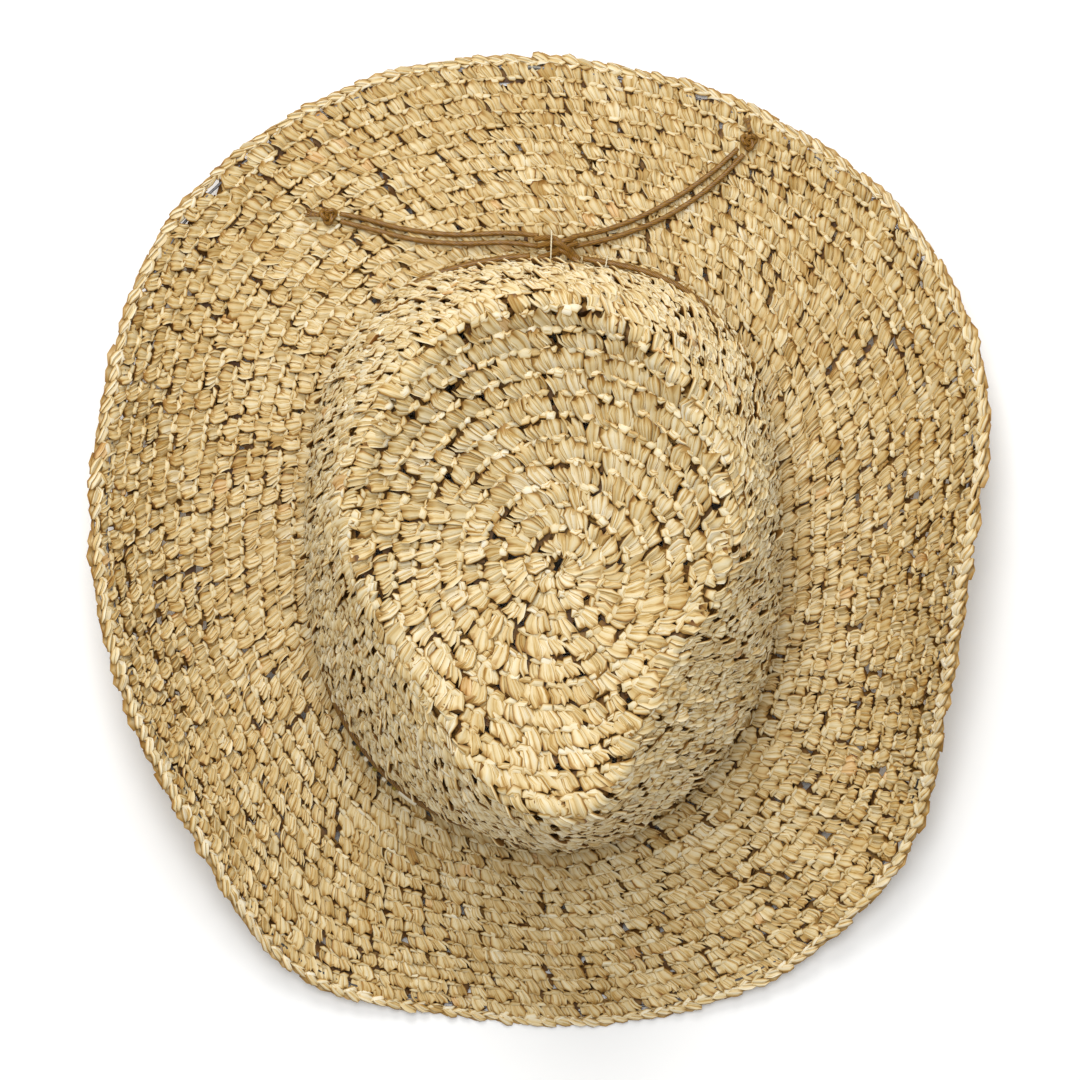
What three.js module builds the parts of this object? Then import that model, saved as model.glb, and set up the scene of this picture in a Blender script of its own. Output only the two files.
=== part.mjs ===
// A crocheted raffia sun hat with a pinched crown, a curled brim and a beaded cord band.
//
// Frame: millimetres, +Z up, origin under the middle of the brim, on the surface the hat rests on.
// The narrow, pinched front points to -Y and the knot of the band is at the back, on +Y.
//
// Every part of the crochet is one surface, the shape of the wooden block the damp hat is pulled
// over. It is written as onHat(turn, ring, lift): an angle round the crown, a ring number from the
// middle of the tip out to the edge of the brim, and a height off the middle of the fabric.
import * as THREE from 'three';

// ---------- driving dimensions ----------
const FABRIC = 4.0;            // thickness of the crochet
const GAP = 0.3;               // clearance between pieces that touch
const CROWN_AXIS = new THREE.Vector2(0.5, -2.5);
const TIP_CENTRE = new THREE.Vector3(6.7, -9.4, 96);   // the first stitch, at the bottom of the dent
const TIP_ROUND = 74;          // reach of the first, still round, rounds when carried to the ridge
const BREAK_HEIGHT = 17;       // where the crown turns into the brim
const CURL_POWER = 2.2;        // how late the brim starts to curl up on its way out
const SAG_POWER = 1.5;         // how early the brim drops away from the crown

// Shape at every 20 degrees, counterclockwise from the right-hand side (+X), seen from above.
// BULGE is how far the side of the crown swells out over the place where the band is tied.
const RIDGE_REACH = [64, 67, 71, 78, 83, 83, 78, 72, 68, 65, 61, 60, 66, 84, 90, 68, 58, 61];
const RIDGE_HEIGHT = [
  111, 113, 115, 117, 118, 118, 117, 115, 113, 110, 107, 106, 108, 111, 111, 108, 106, 107];
const BASE_REACH = [80, 84, 95, 103, 102, 102, 102, 94, 84, 80, 84, 91, 98, 102, 104, 98, 91, 84];
const BULGE = [2.8, 2.8, 1.8, -0.6, -1.5, -1.3, 0.8, 2.5, 2.8, 2.8, 2.3, -0.2, -0.4, 1.6, 2.5, 2.8, 2.8, 2.8];
const EDGE_REACH = [
  154, 170, 179, 179, 179, 182, 183, 180, 167, 161, 159, 163, 180, 175, 177, 179, 173, 155];
const EDGE_LIFT = [45, 36, 19, 7, 1, 1, 6, 16, 32, 44, 44, 31, 10, 1, 1, 7, 20, 39];

// Rings of the block: 0 tip centre, 5 ridge, 10 break, 15 edge.
const TIP_STEPS = [0, 0.25, 0.5, 0.75, 0.92, 1];
const BRIM_STEPS = [0, 0.15, 0.4, 0.65, 0.85, 1];
const RIDGE_RING = 5;
const BREAK_RING = 10;
const EDGE_RING = 15;

const WIRE_DIAMETER = 1.0;
const WIRE_INSET = 3.6;        // wire centre, measured in from the edge of the brim
const SLEEVE_DIAMETER = 2.2;
const SLEEVE_LENGTH = 10;
const SLEEVE_SLACK = 0.3;      // room between the wire and the sleeve
const WIRE_LIFT = 0.8;         // the wire lies a little above the middle of the fabric
const BRIM_INSET = 5.0;        // where the brim's last full round ends
const PLAIT_INSET = 0.5;       // middle of the slip-stitched edge round
const PLAIT_WIDTH = 3.4;
const PLAIT_HEIGHT = 3.0;

const RIBBON_THICKNESS = 0.8;
const RIBBON_HEIGHT = 28;
const RIBBON_START = 4;        // its lower edge, above the break
const RIBBON_GAP = 0.8;        // slack between the ribbon and the crochet
const THREAD_DIAMETER = 0.6;
const SEAM_UP = 3;             // the seam, above the lower edge of the ribbon
const SEAM_SHARE = 0.995;      // how much of the way round the seam runs before it is fastened off

const CORD_DIAMETER = 2.0;
const CORD_LOWER = 5.2;        // heights of the two strands above the break
const CORD_UPPER = 8.6;
const BEAD_DIAMETER = 3.8;
const BEAD_BORE = 2.6;
const BEAD_LENGTH = 1.9;
const BEAD_PITCH = 2.3;
const BEAD_COUNT = 10;
const BEAD_START = THREE.MathUtils.degToRad(227);      // first bead, at the front left
const SHELL_LENGTH = 8;
const KNOT_TURN = THREE.MathUtils.degToRad(87);        // the knot, at the back
const KNOT_HALF_TURN = THREE.MathUtils.degToRad(5.2);  // half the angle that the knot takes up

// Free tails of the band: two strands each side, laid on the brim. Hand-laid points, x and y.
// A third number lifts the strand clear of the curve where the brim leaves the crown.
const TAILS = {
  tail_left_outer: [
    [-0.6, 111.2, 3.4], [-12, 112.4, 1], [-32, 112], [-50, 114.2], [-64, 118], [-73.6, 120]],
  tail_left_inner: [
    [-0.6, 107.4, 3], [-13, 108.8, 1.6], [-30, 108.6, 0.6], [-46, 110.2], [-62, 114.2], [-73.4, 117.2]],
  tail_right_outer: [[12, 110.8, 3.4], [24, 113.6, 0.6], [38, 119.2], [52, 127.2], [64, 136], [73, 144.2]],
  tail_right_inner: [[12.4, 107.2, 3], [27, 110.8, 1], [44, 117.6], [57, 125.6], [67, 133.8], [75, 142]],
};
const TAIL_KNOTS = { tail_knot_left: [-77.8, 119.2], tail_knot_right: [77, 146.8] };
const TAIL_TIPS = {
  tail_tip_left: [[-81.8, 119.7], [-84.2, 120.1], [-87, 120.8]],
  tail_tip_right: [[77.2, 151], [76.6, 153.6], [75.5, 157]],
};
const TAIL_KNOT_LIFT = 2.4;
const TAIL_TIP_LIFT = 1.8;
const TAIL_TIP_DIAMETER = 2.6; // the cut end is frayed, and so thicker than the cord
const KNOT_OUT = 3.4;          // how far the knot at the back stands out from the strands
const BACK_KNOT = { reach: 2.9, thickness: 0.95, lean: Math.PI / 2.6 };
const TAIL_KNOT = { reach: 2.0, thickness: 0.8 };

// ---------- materials ----------
const paint = (color, roughness, metalness = 0) =>
  new THREE.MeshStandardMaterial({ color, roughness, metalness });
const RAFFIA_TIP = paint('#e8d5a4', 0.82);
const RAFFIA_WALL = paint('#e0cb98', 0.82);
const RAFFIA_BRIM = paint('#d9c28c', 0.82);
const RAFFIA_EDGE = paint('#e3ca92', 0.8);
const WIRE_STEEL = paint('#55555a', 0.45, 0.9);
const SLEEVE_TIN = paint('#8d8f92', 0.4, 0.9);
const COTTON_RIBBON = paint('#d8c8a6', 0.9);
const SEWING_THREAD = paint('#eadfc0', 0.8);
const WAXED_CORD = paint('#7d5722', 0.6);
const BLACK_GLASS = paint('#15120e', 0.15);
const GOLD_GLASS = paint('#8c7a20', 0.25, 0.4);
const WHITE_GLASS = paint('#f2ebd8', 0.3);
const SHELL = paint('#efe4cc', 0.3);

// ---------- the block ----------
const TURN = Math.PI * 2;
const STEP = TURN / RIDGE_REACH.length;

// Catmull-Rom value between b and c.
function between(a, b, c, d, t) {
  const t2 = t * t;
  const t3 = t2 * t;
  return 0.5 * (2 * b + (c - a) * t + (2 * a - 5 * b + 4 * c - d) * t2 + (3 * b - a - 3 * c + d) * t3);
}

// A value listed at even steps round the hat, read at any angle.
function around(list, angle) {
  const place = (((angle / STEP) % list.length) + list.length) % list.length;
  const i = Math.floor(place);
  const at = (n) => list[(i + n + list.length) % list.length];
  return between(at(-1), at(0), at(1), at(2), place - i);
}

// One point of one ring, on the middle of the fabric.
function ringPoint(angle, ring) {
  const out = new THREE.Vector2(Math.cos(angle), Math.sin(angle));
  const ridge = around(RIDGE_REACH, angle);
  const top = around(RIDGE_HEIGHT, angle);
  const base = around(BASE_REACH, angle);
  const belly = base + around(BULGE, angle);
  if (ring <= RIDGE_RING) {
    const p = TIP_STEPS[ring];
    const round = new THREE.Vector2(TIP_CENTRE.x, TIP_CENTRE.y).addScaledVector(out, TIP_ROUND * p);
    const shaped = new THREE.Vector2(TIP_CENTRE.x, TIP_CENTRE.y)
      .lerp(CROWN_AXIS.clone().addScaledVector(out, ridge), p);
    const flat = round.lerp(shaped, p * (2 - p));
    return new THREE.Vector3(flat.x, flat.y, THREE.MathUtils.lerp(TIP_CENTRE.z, top, p ** 2.4));
  }
  const wall = {
    6: [ridge + 5.5 + 0.08 * (base - ridge), top - 9],
    7: [THREE.MathUtils.lerp(ridge + 6, belly, 0.55) + 1.5, THREE.MathUtils.lerp(top, BREAK_HEIGHT, 0.36)],
    8: [belly, THREE.MathUtils.lerp(top, BREAK_HEIGHT, 0.66)],
    9: [base - 0.5, BREAK_HEIGHT + 11],
  };
  let [reach, height] = wall[ring] ?? [0, 0];
  if (ring >= BREAK_RING) {
    const f = BRIM_STEPS[ring - BREAK_RING];
    reach = THREE.MathUtils.lerp(base + 3, around(EDGE_REACH, angle), f);
    height = BREAK_HEIGHT * (1 - f) ** SAG_POWER + around(EDGE_LIFT, angle) * f ** CURL_POWER;
  }
  return new THREE.Vector3(CROWN_AXIS.x + out.x * reach, CROWN_AXIS.y + out.y * reach, height);
}

// A point on the middle of the fabric, at any ring number.
function midPoint(angle, ring) {
  const i = Math.min(Math.floor(ring), EDGE_RING - 1);
  const first = ringPoint(angle, i);
  const second = ringPoint(angle, i + 1);
  const before = i > 0 ? ringPoint(angle, i - 1) : ringPoint(angle + Math.PI, 1);
  const after = i + 2 <= EDGE_RING ? ringPoint(angle, i + 2) : second.clone().multiplyScalar(2).sub(first);
  const t = ring - i;
  return new THREE.Vector3(
    between(before.x, first.x, second.x, after.x, t),
    between(before.y, first.y, second.y, after.y, t),
    between(before.z, first.z, second.z, after.z, t),
  );
}

// The direction straight out of the fabric, away from the head.
function outward(angle, ring) {
  const small = 0.02;
  if (ring < small) return new THREE.Vector3(0, 0, 1);
  const across = midPoint(angle, ring + small).sub(midPoint(angle, ring - small));
  const along = midPoint(angle + small, ring).sub(midPoint(angle - small, ring));
  return across.cross(along).normalize();
}

// A point of the hat: the block's surface, lifted off it. Nothing goes below the resting surface.
function onHat(angle, ring, lift) {
  const point = midPoint(angle, ring).addScaledVector(outward(angle, ring), lift);
  point.z = Math.max(point.z, 0);
  return point;
}

// The ring number that lies a distance in from the edge of the brim, measured flat.
function insetRing(angle, inset) {
  const width = around(EDGE_REACH, angle) - around(BASE_REACH, angle) - 3;
  const f = 1 - inset / width;
  const last = BRIM_STEPS.length - 1;
  return EDGE_RING - (1 - f) / (BRIM_STEPS[last] - BRIM_STEPS[last - 1]);
}

// The ring number on the side of the crown at a height above the break.
function wallRing(angle, height) {
  let low = BREAK_RING;
  let high = BREAK_RING - 3;
  for (let i = 0; i < 24; i++) {
    const middle = (low + high) / 2;
    if (midPoint(angle, middle).z < BREAK_HEIGHT + height) low = middle;
    else high = middle;
  }
  return (low + high) / 2;
}

// The height of the brim's upper face below a point seen from above.
function brimTop(x, y) {
  const angle = Math.atan2(y - CROWN_AXIS.y, x - CROWN_AXIS.x);
  const reach = Math.hypot(y - CROWN_AXIS.y, x - CROWN_AXIS.x);
  let low = BREAK_RING;
  let high = EDGE_RING;
  for (let i = 0; i < 24; i++) {
    const middle = (low + high) / 2;
    const point = onHat(angle, middle, FABRIC / 2);
    if (Math.hypot(point.x - CROWN_AXIS.x, point.y - CROWN_AXIS.y) < reach) low = middle;
    else high = middle;
  }
  return onHat(angle, low, FABRIC / 2).z;
}

// ---------- ways of making a piece ----------
const hat = new THREE.Group();

function add(name, geometry, material) {
  const mesh = new THREE.Mesh(geometry, material);
  mesh.name = name;
  hat.add(mesh);
  return mesh;
}

// Turns a closed profile into a round blank and pulls it over the block. A profile point is a
// function of the angle that gives its ring number and its lift.
function blocked(profile, segments) {
  const blank = new THREE.LatheGeometry(profile.map((_, j) => new THREE.Vector2(1, j)), segments);
  const place = blank.attributes.position;
  for (let i = 0; i <= segments; i++) {
    const angle = (TURN * (i % segments)) / segments;
    profile.forEach((point, j) => {
      const [ring, lift] = point(angle);
      const spot = onHat(angle, ring, lift);
      place.setXYZ(i * profile.length + j, spot.x, spot.y, spot.z);
    });
  }
  return blank;
}

// A tube along a smooth curve through the given points.
function tube(points, diameter, steps, sides = 8) {
  const section = new THREE.Shape();
  for (let i = 0; i <= sides; i++) {
    const a = (TURN * i) / sides;
    const move = i === 0 ? 'moveTo' : 'lineTo';
    section[move]((Math.cos(a) * diameter) / 2, (Math.sin(a) * diameter) / 2);
  }
  const path = new THREE.CatmullRomCurve3(points);
  return new THREE.ExtrudeGeometry(section, { steps, extrudePath: path, bevelEnabled: false });
}

const spread = (from, to, count) =>
  Array.from({ length: count + 1 }, (_, i) => from + ((to - from) * i) / count);

// ---------- crochet: tip, side of the crown, brim ----------
const HALF = FABRIC / 2;
const JOIN = 0.07;            // ring number left free where two pieces of crochet meet

function shell(from, to, count) {
  const rings = spread(0, 1, count);
  const ringAt = (part) => (angle) => {
    const start = from(angle);
    return start + (to(angle) - start) * part;
  };
  const side = (lift) => (part) => (angle) => [ringAt(part)(angle), lift];
  const outside = rings.map(side(HALF));
  const inside = [...rings].reverse().map(side(-HALF));
  return [...outside, ...inside];
}

function addCrochet() {
  const tip = shell(() => 0, () => RIDGE_RING - JOIN, 6);
  add('crown_tip', blocked(tip.reverse(), 54), RAFFIA_TIP);
  const wall = shell(() => RIDGE_RING + JOIN, () => BREAK_RING - JOIN, 8);
  add('crown_wall', blocked([...wall, wall[0]].reverse(), 60), RAFFIA_WALL);
  const brim = shell(() => BREAK_RING + JOIN, (angle) => insetRing(angle, BRIM_INSET), 6);
  add('brim', blocked([...brim, brim[0]].reverse(), 72), RAFFIA_BRIM);
}

// ---------- edge of the brim: slip-stitched round over a shaping wire ----------
function addEdge() {
  const sides = 6;
  const plait = spread(0, TURN, sides).map((a, i) => (angle) => {
    const turn = i === sides ? 0 : a;
    const inset = PLAIT_INSET - (Math.cos(turn) * PLAIT_WIDTH) / 2;
    return [insetRing(angle, inset), (Math.sin(turn) * PLAIT_HEIGHT) / 2];
  });
  add('brim_edge_plait', blocked(plait, 72), RAFFIA_EDGE);

  const endGap = 0.008;          // the wire's two ends stop short of each other inside the sleeve
  const joint = THREE.MathUtils.degToRad(90);
  const route = spread(joint + endGap / 2, joint + TURN - endGap / 2, 72)
    .map((angle) => onHat(angle, insetRing(angle, WIRE_INSET), WIRE_LIFT));
  add('brim_wire', tube(route, WIRE_DIAMETER, 72, 6), WIRE_STEEL);

  const inner = WIRE_DIAMETER / 2 + SLEEVE_SLACK;
  const outer = SLEEVE_DIAMETER / 2;
  const end = SLEEVE_LENGTH / 2;
  const ring = [[inner, -end], [outer, -end], [outer, end], [inner, end], [inner, -end]];
  const sleeve = new THREE.LatheGeometry(ring.map(([x, y]) => new THREE.Vector2(x, y)), 12);
  const mesh = add('wire_sleeve', sleeve, SLEEVE_TIN);
  const wireAt = (angle) => onHat(angle, insetRing(angle, WIRE_INSET), WIRE_LIFT);
  const nearby = 0.02;
  const before = wireAt(joint - nearby);
  const after = wireAt(joint + nearby);
  mesh.position.copy(wireAt(joint));
  mesh.quaternion.setFromUnitVectors(new THREE.Vector3(0, 1, 0), after.sub(before).normalize());
}

// ---------- sweatband inside the crown, and the thread that holds it ----------
function addSweatband() {
  const middle = -(HALF + RIBBON_GAP + RIBBON_THICKNESS / 2);
  const level = (height, lift) => (angle) => [wallRing(angle, height), lift];
  const half = RIBBON_THICKNESS / 2;
  const heights = spread(RIBBON_START, RIBBON_START + RIBBON_HEIGHT, 4);
  const outside = heights.map((h) => level(h, middle + half));
  const inside = [...heights].reverse().map((h) => level(h, middle - half));
  const ribbon = [...outside, ...inside, outside[0]];
  add('sweatband', blocked(ribbon, 60), COTTON_RIBBON);

  const seam = -(HALF + RIBBON_GAP + RIBBON_THICKNESS + GAP + THREAD_DIAMETER / 2);
  const route = spread(0, TURN * SEAM_SHARE, 72)
    .map((angle) => onHat(angle, wallRing(angle, RIBBON_START + SEAM_UP), seam));
  add('sweatband_thread', tube(route, THREAD_DIAMETER, 60, 4), SEWING_THREAD);
}

// ---------- cord band: two strands, knotted at the back, beads at the front left ----------
const CORD_LIFT = HALF + GAP + BEAD_DIAMETER / 2;

const bandPoint = (angle, height) => onHat(angle, wallRing(angle, height), CORD_LIFT);

function addBand() {
  for (const [name, height] of [['hat_cord_lower', CORD_LOWER], ['hat_cord_upper', CORD_UPPER]]) {
    const route = spread(KNOT_TURN + KNOT_HALF_TURN, KNOT_TURN + TURN - KNOT_HALF_TURN, 72)
      .map((angle) => bandPoint(angle, height));
    add(name, tube(route, CORD_DIAMETER, 72, 6), WAXED_CORD);
  }

  const knot = new THREE.TorusKnotGeometry(BACK_KNOT.reach, BACK_KNOT.thickness, 48, 6, 2, 3);
  const mesh = add('back_knot', knot, WAXED_CORD);
  mesh.position.copy(bandPoint(KNOT_TURN, (CORD_LOWER + CORD_UPPER) / 2));
  mesh.position.y += KNOT_OUT;
  mesh.rotation.x = BACK_KNOT.lean;
}

// A ring threaded on the lower strand, its bore along the strand.
function strung(name, profile, angle, sides, material) {
  const points = profile.map(([x, y]) => new THREE.Vector2(x, y));
  const mesh = add(name, new THREE.LatheGeometry([...points, points[0]], sides), material);
  const small = 0.01;
  const along = bandPoint(angle + small, CORD_LOWER).sub(bandPoint(angle - small, CORD_LOWER));
  mesh.position.copy(bandPoint(angle, CORD_LOWER));
  mesh.quaternion.setFromUnitVectors(new THREE.Vector3(0, 1, 0), along.normalize());
}

function addBeads() {
  const bore = BEAD_BORE / 2;
  const rim = BEAD_DIAMETER / 2;
  const half = BEAD_LENGTH / 2;
  const bead = [[bore, -half], [rim - 0.3, -half], [rim, 0], [rim - 0.3, half], [bore, half]];
  const glass = [BLACK_GLASS, GOLD_GLASS, BLACK_GLASS, WHITE_GLASS];
  const turnOf = (distance) => distance / (around(BASE_REACH, BEAD_START) + CORD_LIFT);
  for (let i = 0; i < BEAD_COUNT; i++) {
    const name = `bead_${String(i + 1).padStart(2, '0')}`;
    strung(name, bead, BEAD_START + turnOf(i * BEAD_PITCH), 10, glass[i % glass.length]);
  }
  const end = SHELL_LENGTH / 2;
  const shellBead = [
    [bore, -end], [rim - 0.4, -end], [rim, -end / 3], [rim, end / 3], [rim - 0.4, end], [bore, end]];
  const middle = (BEAD_COUNT - 0.5) * BEAD_PITCH + end + GAP;
  strung('shell_bead', shellBead, BEAD_START + turnOf(middle), 10, SHELL);
}

// ---------- tails of the band, their knots and tips ----------
const CORD_REST = CORD_DIAMETER / 2 + GAP;

const laid = ([x, y, extra = 0], lift = CORD_REST) => new THREE.Vector3(x, y, brimTop(x, y) + lift + extra);

function addTails() {
  for (const [name, points] of Object.entries(TAILS)) {
    add(name, tube(points.map((point) => laid(point)), CORD_DIAMETER, 20), WAXED_CORD);
  }
  for (const [name, point] of Object.entries(TAIL_KNOTS)) {
    const knot = new THREE.TorusKnotGeometry(TAIL_KNOT.reach, TAIL_KNOT.thickness, 36, 6, 2, 3);
    add(name, knot, WAXED_CORD).position.copy(laid(point, TAIL_KNOT_LIFT));
  }
  for (const [name, points] of Object.entries(TAIL_TIPS)) {
    const route = points.map((point) => laid(point, TAIL_TIP_LIFT));
    add(name, tube(route, TAIL_TIP_DIAMETER, 5), WAXED_CORD);
  }
}

// ---------- tacks: sewing thread that holds the knot and the strands to the crown ----------
// Each tack is an arch of [height above the break, lift off the crochet].
const STRAND_TACK = [[1.4, 2.8], [3, 5.6], [6.9, 6.6], [10.8, 5.6], [12.4, 2.8]];
const KNOT_TACK_OFFSET = 0.02;  // radians, so that the stitch misses the middle of the knot
const KNOT_TACK = [[14.4, 2.8], [14.8, 6], [14, 9.6], [10.4, 13], [6, 13.4]];

function addTacks() {
  const arch = (angle, points) =>
    points.map(([height, lift]) => onHat(angle, wallRing(angle, height), lift));
  const beside = KNOT_TURN - THREE.MathUtils.degToRad(10);
  add('tack_stitch_strands', tube(arch(beside, STRAND_TACK), THREAD_DIAMETER, 12, 6), SEWING_THREAD);
  const overKnot = arch(KNOT_TURN + KNOT_TACK_OFFSET, KNOT_TACK);
  add('tack_stitch_knot', tube(overKnot, THREAD_DIAMETER, 12, 6), SEWING_THREAD);
}

addCrochet();
addEdge();
addSweatband();
addBand();
addBeads();
addTails();
addTacks();

export default hat;
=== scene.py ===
# %% [markdown]
# # A crocheted raffia sun hat
#
# Raffia is the skin of a palm leaf. It is split into flat, papery ribbons, and this hat is
# crocheted from them in one long spiral: first the tip of the crown, then its side, then the
# brim. The damp hat was pulled over a wooden block that pinched the front of the crown and
# curled up the sides of the brim. A thin wire in the last round holds the curl, and a brown
# waxed cord with a few beads is tied round the crown.
#
# The plan of this lesson is the order in which a maker would work: the block first, then one
# stitch, then all the stitches laid over the block, and last the cord, the knots and the beads.

# %% Load the frame
import math

import bmesh
import bpy
import numpy as np
from mathutils import Matrix, Vector


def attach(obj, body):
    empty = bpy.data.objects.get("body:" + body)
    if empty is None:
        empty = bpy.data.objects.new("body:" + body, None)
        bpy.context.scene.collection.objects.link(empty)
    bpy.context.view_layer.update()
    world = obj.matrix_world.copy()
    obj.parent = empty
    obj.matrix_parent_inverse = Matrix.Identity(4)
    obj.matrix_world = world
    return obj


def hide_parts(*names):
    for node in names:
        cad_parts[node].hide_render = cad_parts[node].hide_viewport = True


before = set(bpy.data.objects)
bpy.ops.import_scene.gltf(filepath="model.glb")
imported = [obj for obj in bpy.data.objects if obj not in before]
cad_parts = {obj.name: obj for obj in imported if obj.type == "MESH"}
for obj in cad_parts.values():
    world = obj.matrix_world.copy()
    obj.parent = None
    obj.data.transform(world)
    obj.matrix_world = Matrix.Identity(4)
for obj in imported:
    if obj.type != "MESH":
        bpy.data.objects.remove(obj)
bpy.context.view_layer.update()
MM = 0.001
FULL_TURN = 2 * math.pi

# %% [markdown]
# ## Camera
#
# The hat lies on a table and is seen from straight above, with its pinched front towards the
# bottom of the picture. A long lens, far away, keeps the tall crown from looking swollen.

# %% Camera
CAMERA_HEIGHT = 1.6
SENSOR = 36.0
PICTURE_SIDE = 0.4000          # what the camera takes in, side to side, at the table

camera_data = bpy.data.cameras.new("camera")
camera_data.sensor_width = SENSOR
camera_data.lens = SENSOR * CAMERA_HEIGHT / PICTURE_SIDE
camera = bpy.data.objects.new("camera", camera_data)
camera.location = (0.0, 0.0, CAMERA_HEIGHT)
bpy.context.scene.collection.objects.link(camera)
bpy.context.scene.camera = camera
print("lens, mm:", round(camera_data.lens, 1))

# %% [markdown]
# ## The block
#
# Every stitch has to follow the shape of the hat, so the shape is one function: give it an
# angle round the crown, a ring number (0 at the middle of the tip, 5 on the ridge, 10 where
# crown and brim meet, 15 at the edge) and a lift off the cloth, and it gives a point. A few
# measures taken at every 20 degrees hold all of the shape; a Catmull-Rom curve joins them.

# %% Measures of the block, in metres
CROWN_AXIS = (0.0005, -0.0025)
TIP_CENTRE = (0.0067, -0.0094, 0.096)
TIP_ROUND = 0.074
BREAK_HEIGHT = 0.017
CURL_POWER = 2.2
SAG_POWER = 1.5
RIDGE_REACH = np.array(
    [64, 67, 71, 78, 83, 83, 78, 72, 68, 65, 61, 60, 66, 84, 90, 68, 58, 61]) * MM
RIDGE_HEIGHT = np.array(
    [111, 113, 115, 117, 118, 118, 117, 115, 113, 110, 107, 106, 108, 111, 111, 108, 106, 107]) * MM
BASE_REACH = np.array(
    [80, 84, 95, 103, 102, 102, 102, 94, 84, 80, 84, 91, 98, 102, 104, 98, 91, 84]) * MM
BULGE = np.array(
    [2.8, 2.8, 1.8, -0.6, -1.5, -1.3, 0.8, 2.5, 2.8, 2.8, 2.3, -0.2, -0.4, 1.6, 2.5, 2.8, 2.8,
     2.8]) * MM
EDGE_REACH = np.array(
    [154, 170, 179, 179, 179, 182, 183, 180, 167, 161, 159, 163, 180, 175, 177, 179, 173, 155]) * MM
EDGE_LIFT = np.array([45, 36, 19, 7, 1, 1, 6, 16, 32, 44, 44, 31, 10, 1, 1, 7, 20, 39]) * MM
TIP_STEPS = np.array([0, 0.25, 0.5, 0.75, 0.92, 1])
BRIM_STEPS = np.array([0, 0.15, 0.4, 0.65, 0.85, 1])
RIDGE_RING, BREAK_RING, EDGE_RING = 5, 10, 15
DENT_POWER = 2.4               # how late the dent of the tip rises to the ridge
BRIM_START = 3 * MM            # the turn from crown to brim takes this much of the reach
# The side has four rings: the shoulder under the ridge, one above the belly, the belly, the foot.
SHOULDER_OUT, SHOULDER_DOWN, SHOULDER_LEAN = 5.5 * MM, 9 * MM, 0.08
UPPER_OUT, UPPER_SWELL, UPPER_LEAN, UPPER_DOWN = 6 * MM, 1.5 * MM, 0.55, 0.36
BELLY_DOWN = 0.66
FOOT_IN, FOOT_HEIGHT = 0.5 * MM, 11 * MM


# %% The block as a function
def between(a, b, c, d, t):
    """Catmull-Rom value between b and c."""
    square, cube = t**2, t**3
    return 0.5 * (
        2 * b + (c - a) * t + (2 * a - 5 * b + 4 * c - d) * square + (3 * b - a - 3 * c + d) * cube)


def around(stations, turn):
    """A measure listed at even steps round the hat, read at any angle."""
    count = len(stations)
    place = (turn * count / FULL_TURN) % count
    i = np.floor(place).astype(int)
    near = [stations[(i + n) % count] for n in (-1, 0, 1, 2)]
    return between(*near, place - i)


def mix(a, b, t):
    """A value a share t of the way from a to b."""
    return a + (b - a) * t


def length_of(line):
    """The length of a line of points."""
    return float(np.linalg.norm(np.diff(line, axis=0), axis=1).sum())


def run_of(line):
    """How far along a line each of its points lies."""
    return np.concatenate([[0], np.cumsum(np.linalg.norm(np.diff(line, axis=0), axis=1))])


def ring_point(turn, ring):
    """Points of whole-numbered rings, on the middle of the crochet."""
    ridge, top = around(RIDGE_REACH, turn), around(RIDGE_HEIGHT, turn)
    base = around(BASE_REACH, turn)
    belly = base + around(BULGE, turn)
    out = np.stack([np.cos(turn), np.sin(turn)], -1)
    axis, centre = np.array(CROWN_AXIS), np.array(TIP_CENTRE)

    p = TIP_STEPS[np.clip(ring, 0, RIDGE_RING)]
    rounded = centre[:2] + out * (TIP_ROUND * p)[..., None]
    shaped = mix(centre[:2], axis + out * ridge[..., None], p[..., None])
    tip_flat = mix(rounded, shaped, (p * (2 - p))[..., None])
    tip_height = mix(centre[2], top, p**DENT_POWER)

    f = BRIM_STEPS[np.clip(ring - BREAK_RING, 0, EDGE_RING - BREAK_RING)]
    brim_reach = mix(base + BRIM_START, around(EDGE_REACH, turn), f)
    brim_height = BREAK_HEIGHT * (1 - f) ** SAG_POWER + around(EDGE_LIFT, turn) * f**CURL_POWER

    wall = [ring == 6, ring == 7, ring == 8, ring == 9]
    reach = np.select(wall, [
        ridge + SHOULDER_OUT + SHOULDER_LEAN * (base - ridge),
        mix(ridge + UPPER_OUT, belly, UPPER_LEAN) + UPPER_SWELL,
        belly, base - FOOT_IN], brim_reach)
    height = np.select(wall, [
        top - SHOULDER_DOWN, mix(top, BREAK_HEIGHT, UPPER_DOWN), mix(top, BREAK_HEIGHT, BELLY_DOWN),
        np.full_like(top, BREAK_HEIGHT + FOOT_HEIGHT)], brim_height)
    side_flat = axis + out * reach[..., None]
    on_tip = (ring <= RIDGE_RING)[..., None]
    flat = np.where(on_tip, tip_flat, side_flat)
    return np.concatenate([flat, np.where(on_tip[..., 0], tip_height, height)[..., None]], -1)


def mid_point(turn, ring):
    """Points on the middle of the crochet, at any ring number."""
    i = np.clip(np.floor(ring).astype(int), 0, EDGE_RING - 1)
    first, second = ring_point(turn, i), ring_point(turn, i + 1)
    opposite = np.where(i > 0, turn, turn + math.pi)
    before = ring_point(opposite, np.abs(i - 1))
    after = ring_point(turn, np.minimum(i + 2, EDGE_RING))
    last = (i + 2 > EDGE_RING)[..., None]
    after = np.where(last, 2 * second - first, after)
    return between(before, first, second, after, (ring - i)[..., None])


GROUND_GAP = 0.2 * MM
PRESSED_BELOW = 2.2 * MM       # stitches lower than this are pressed flatter by the ground


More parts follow.
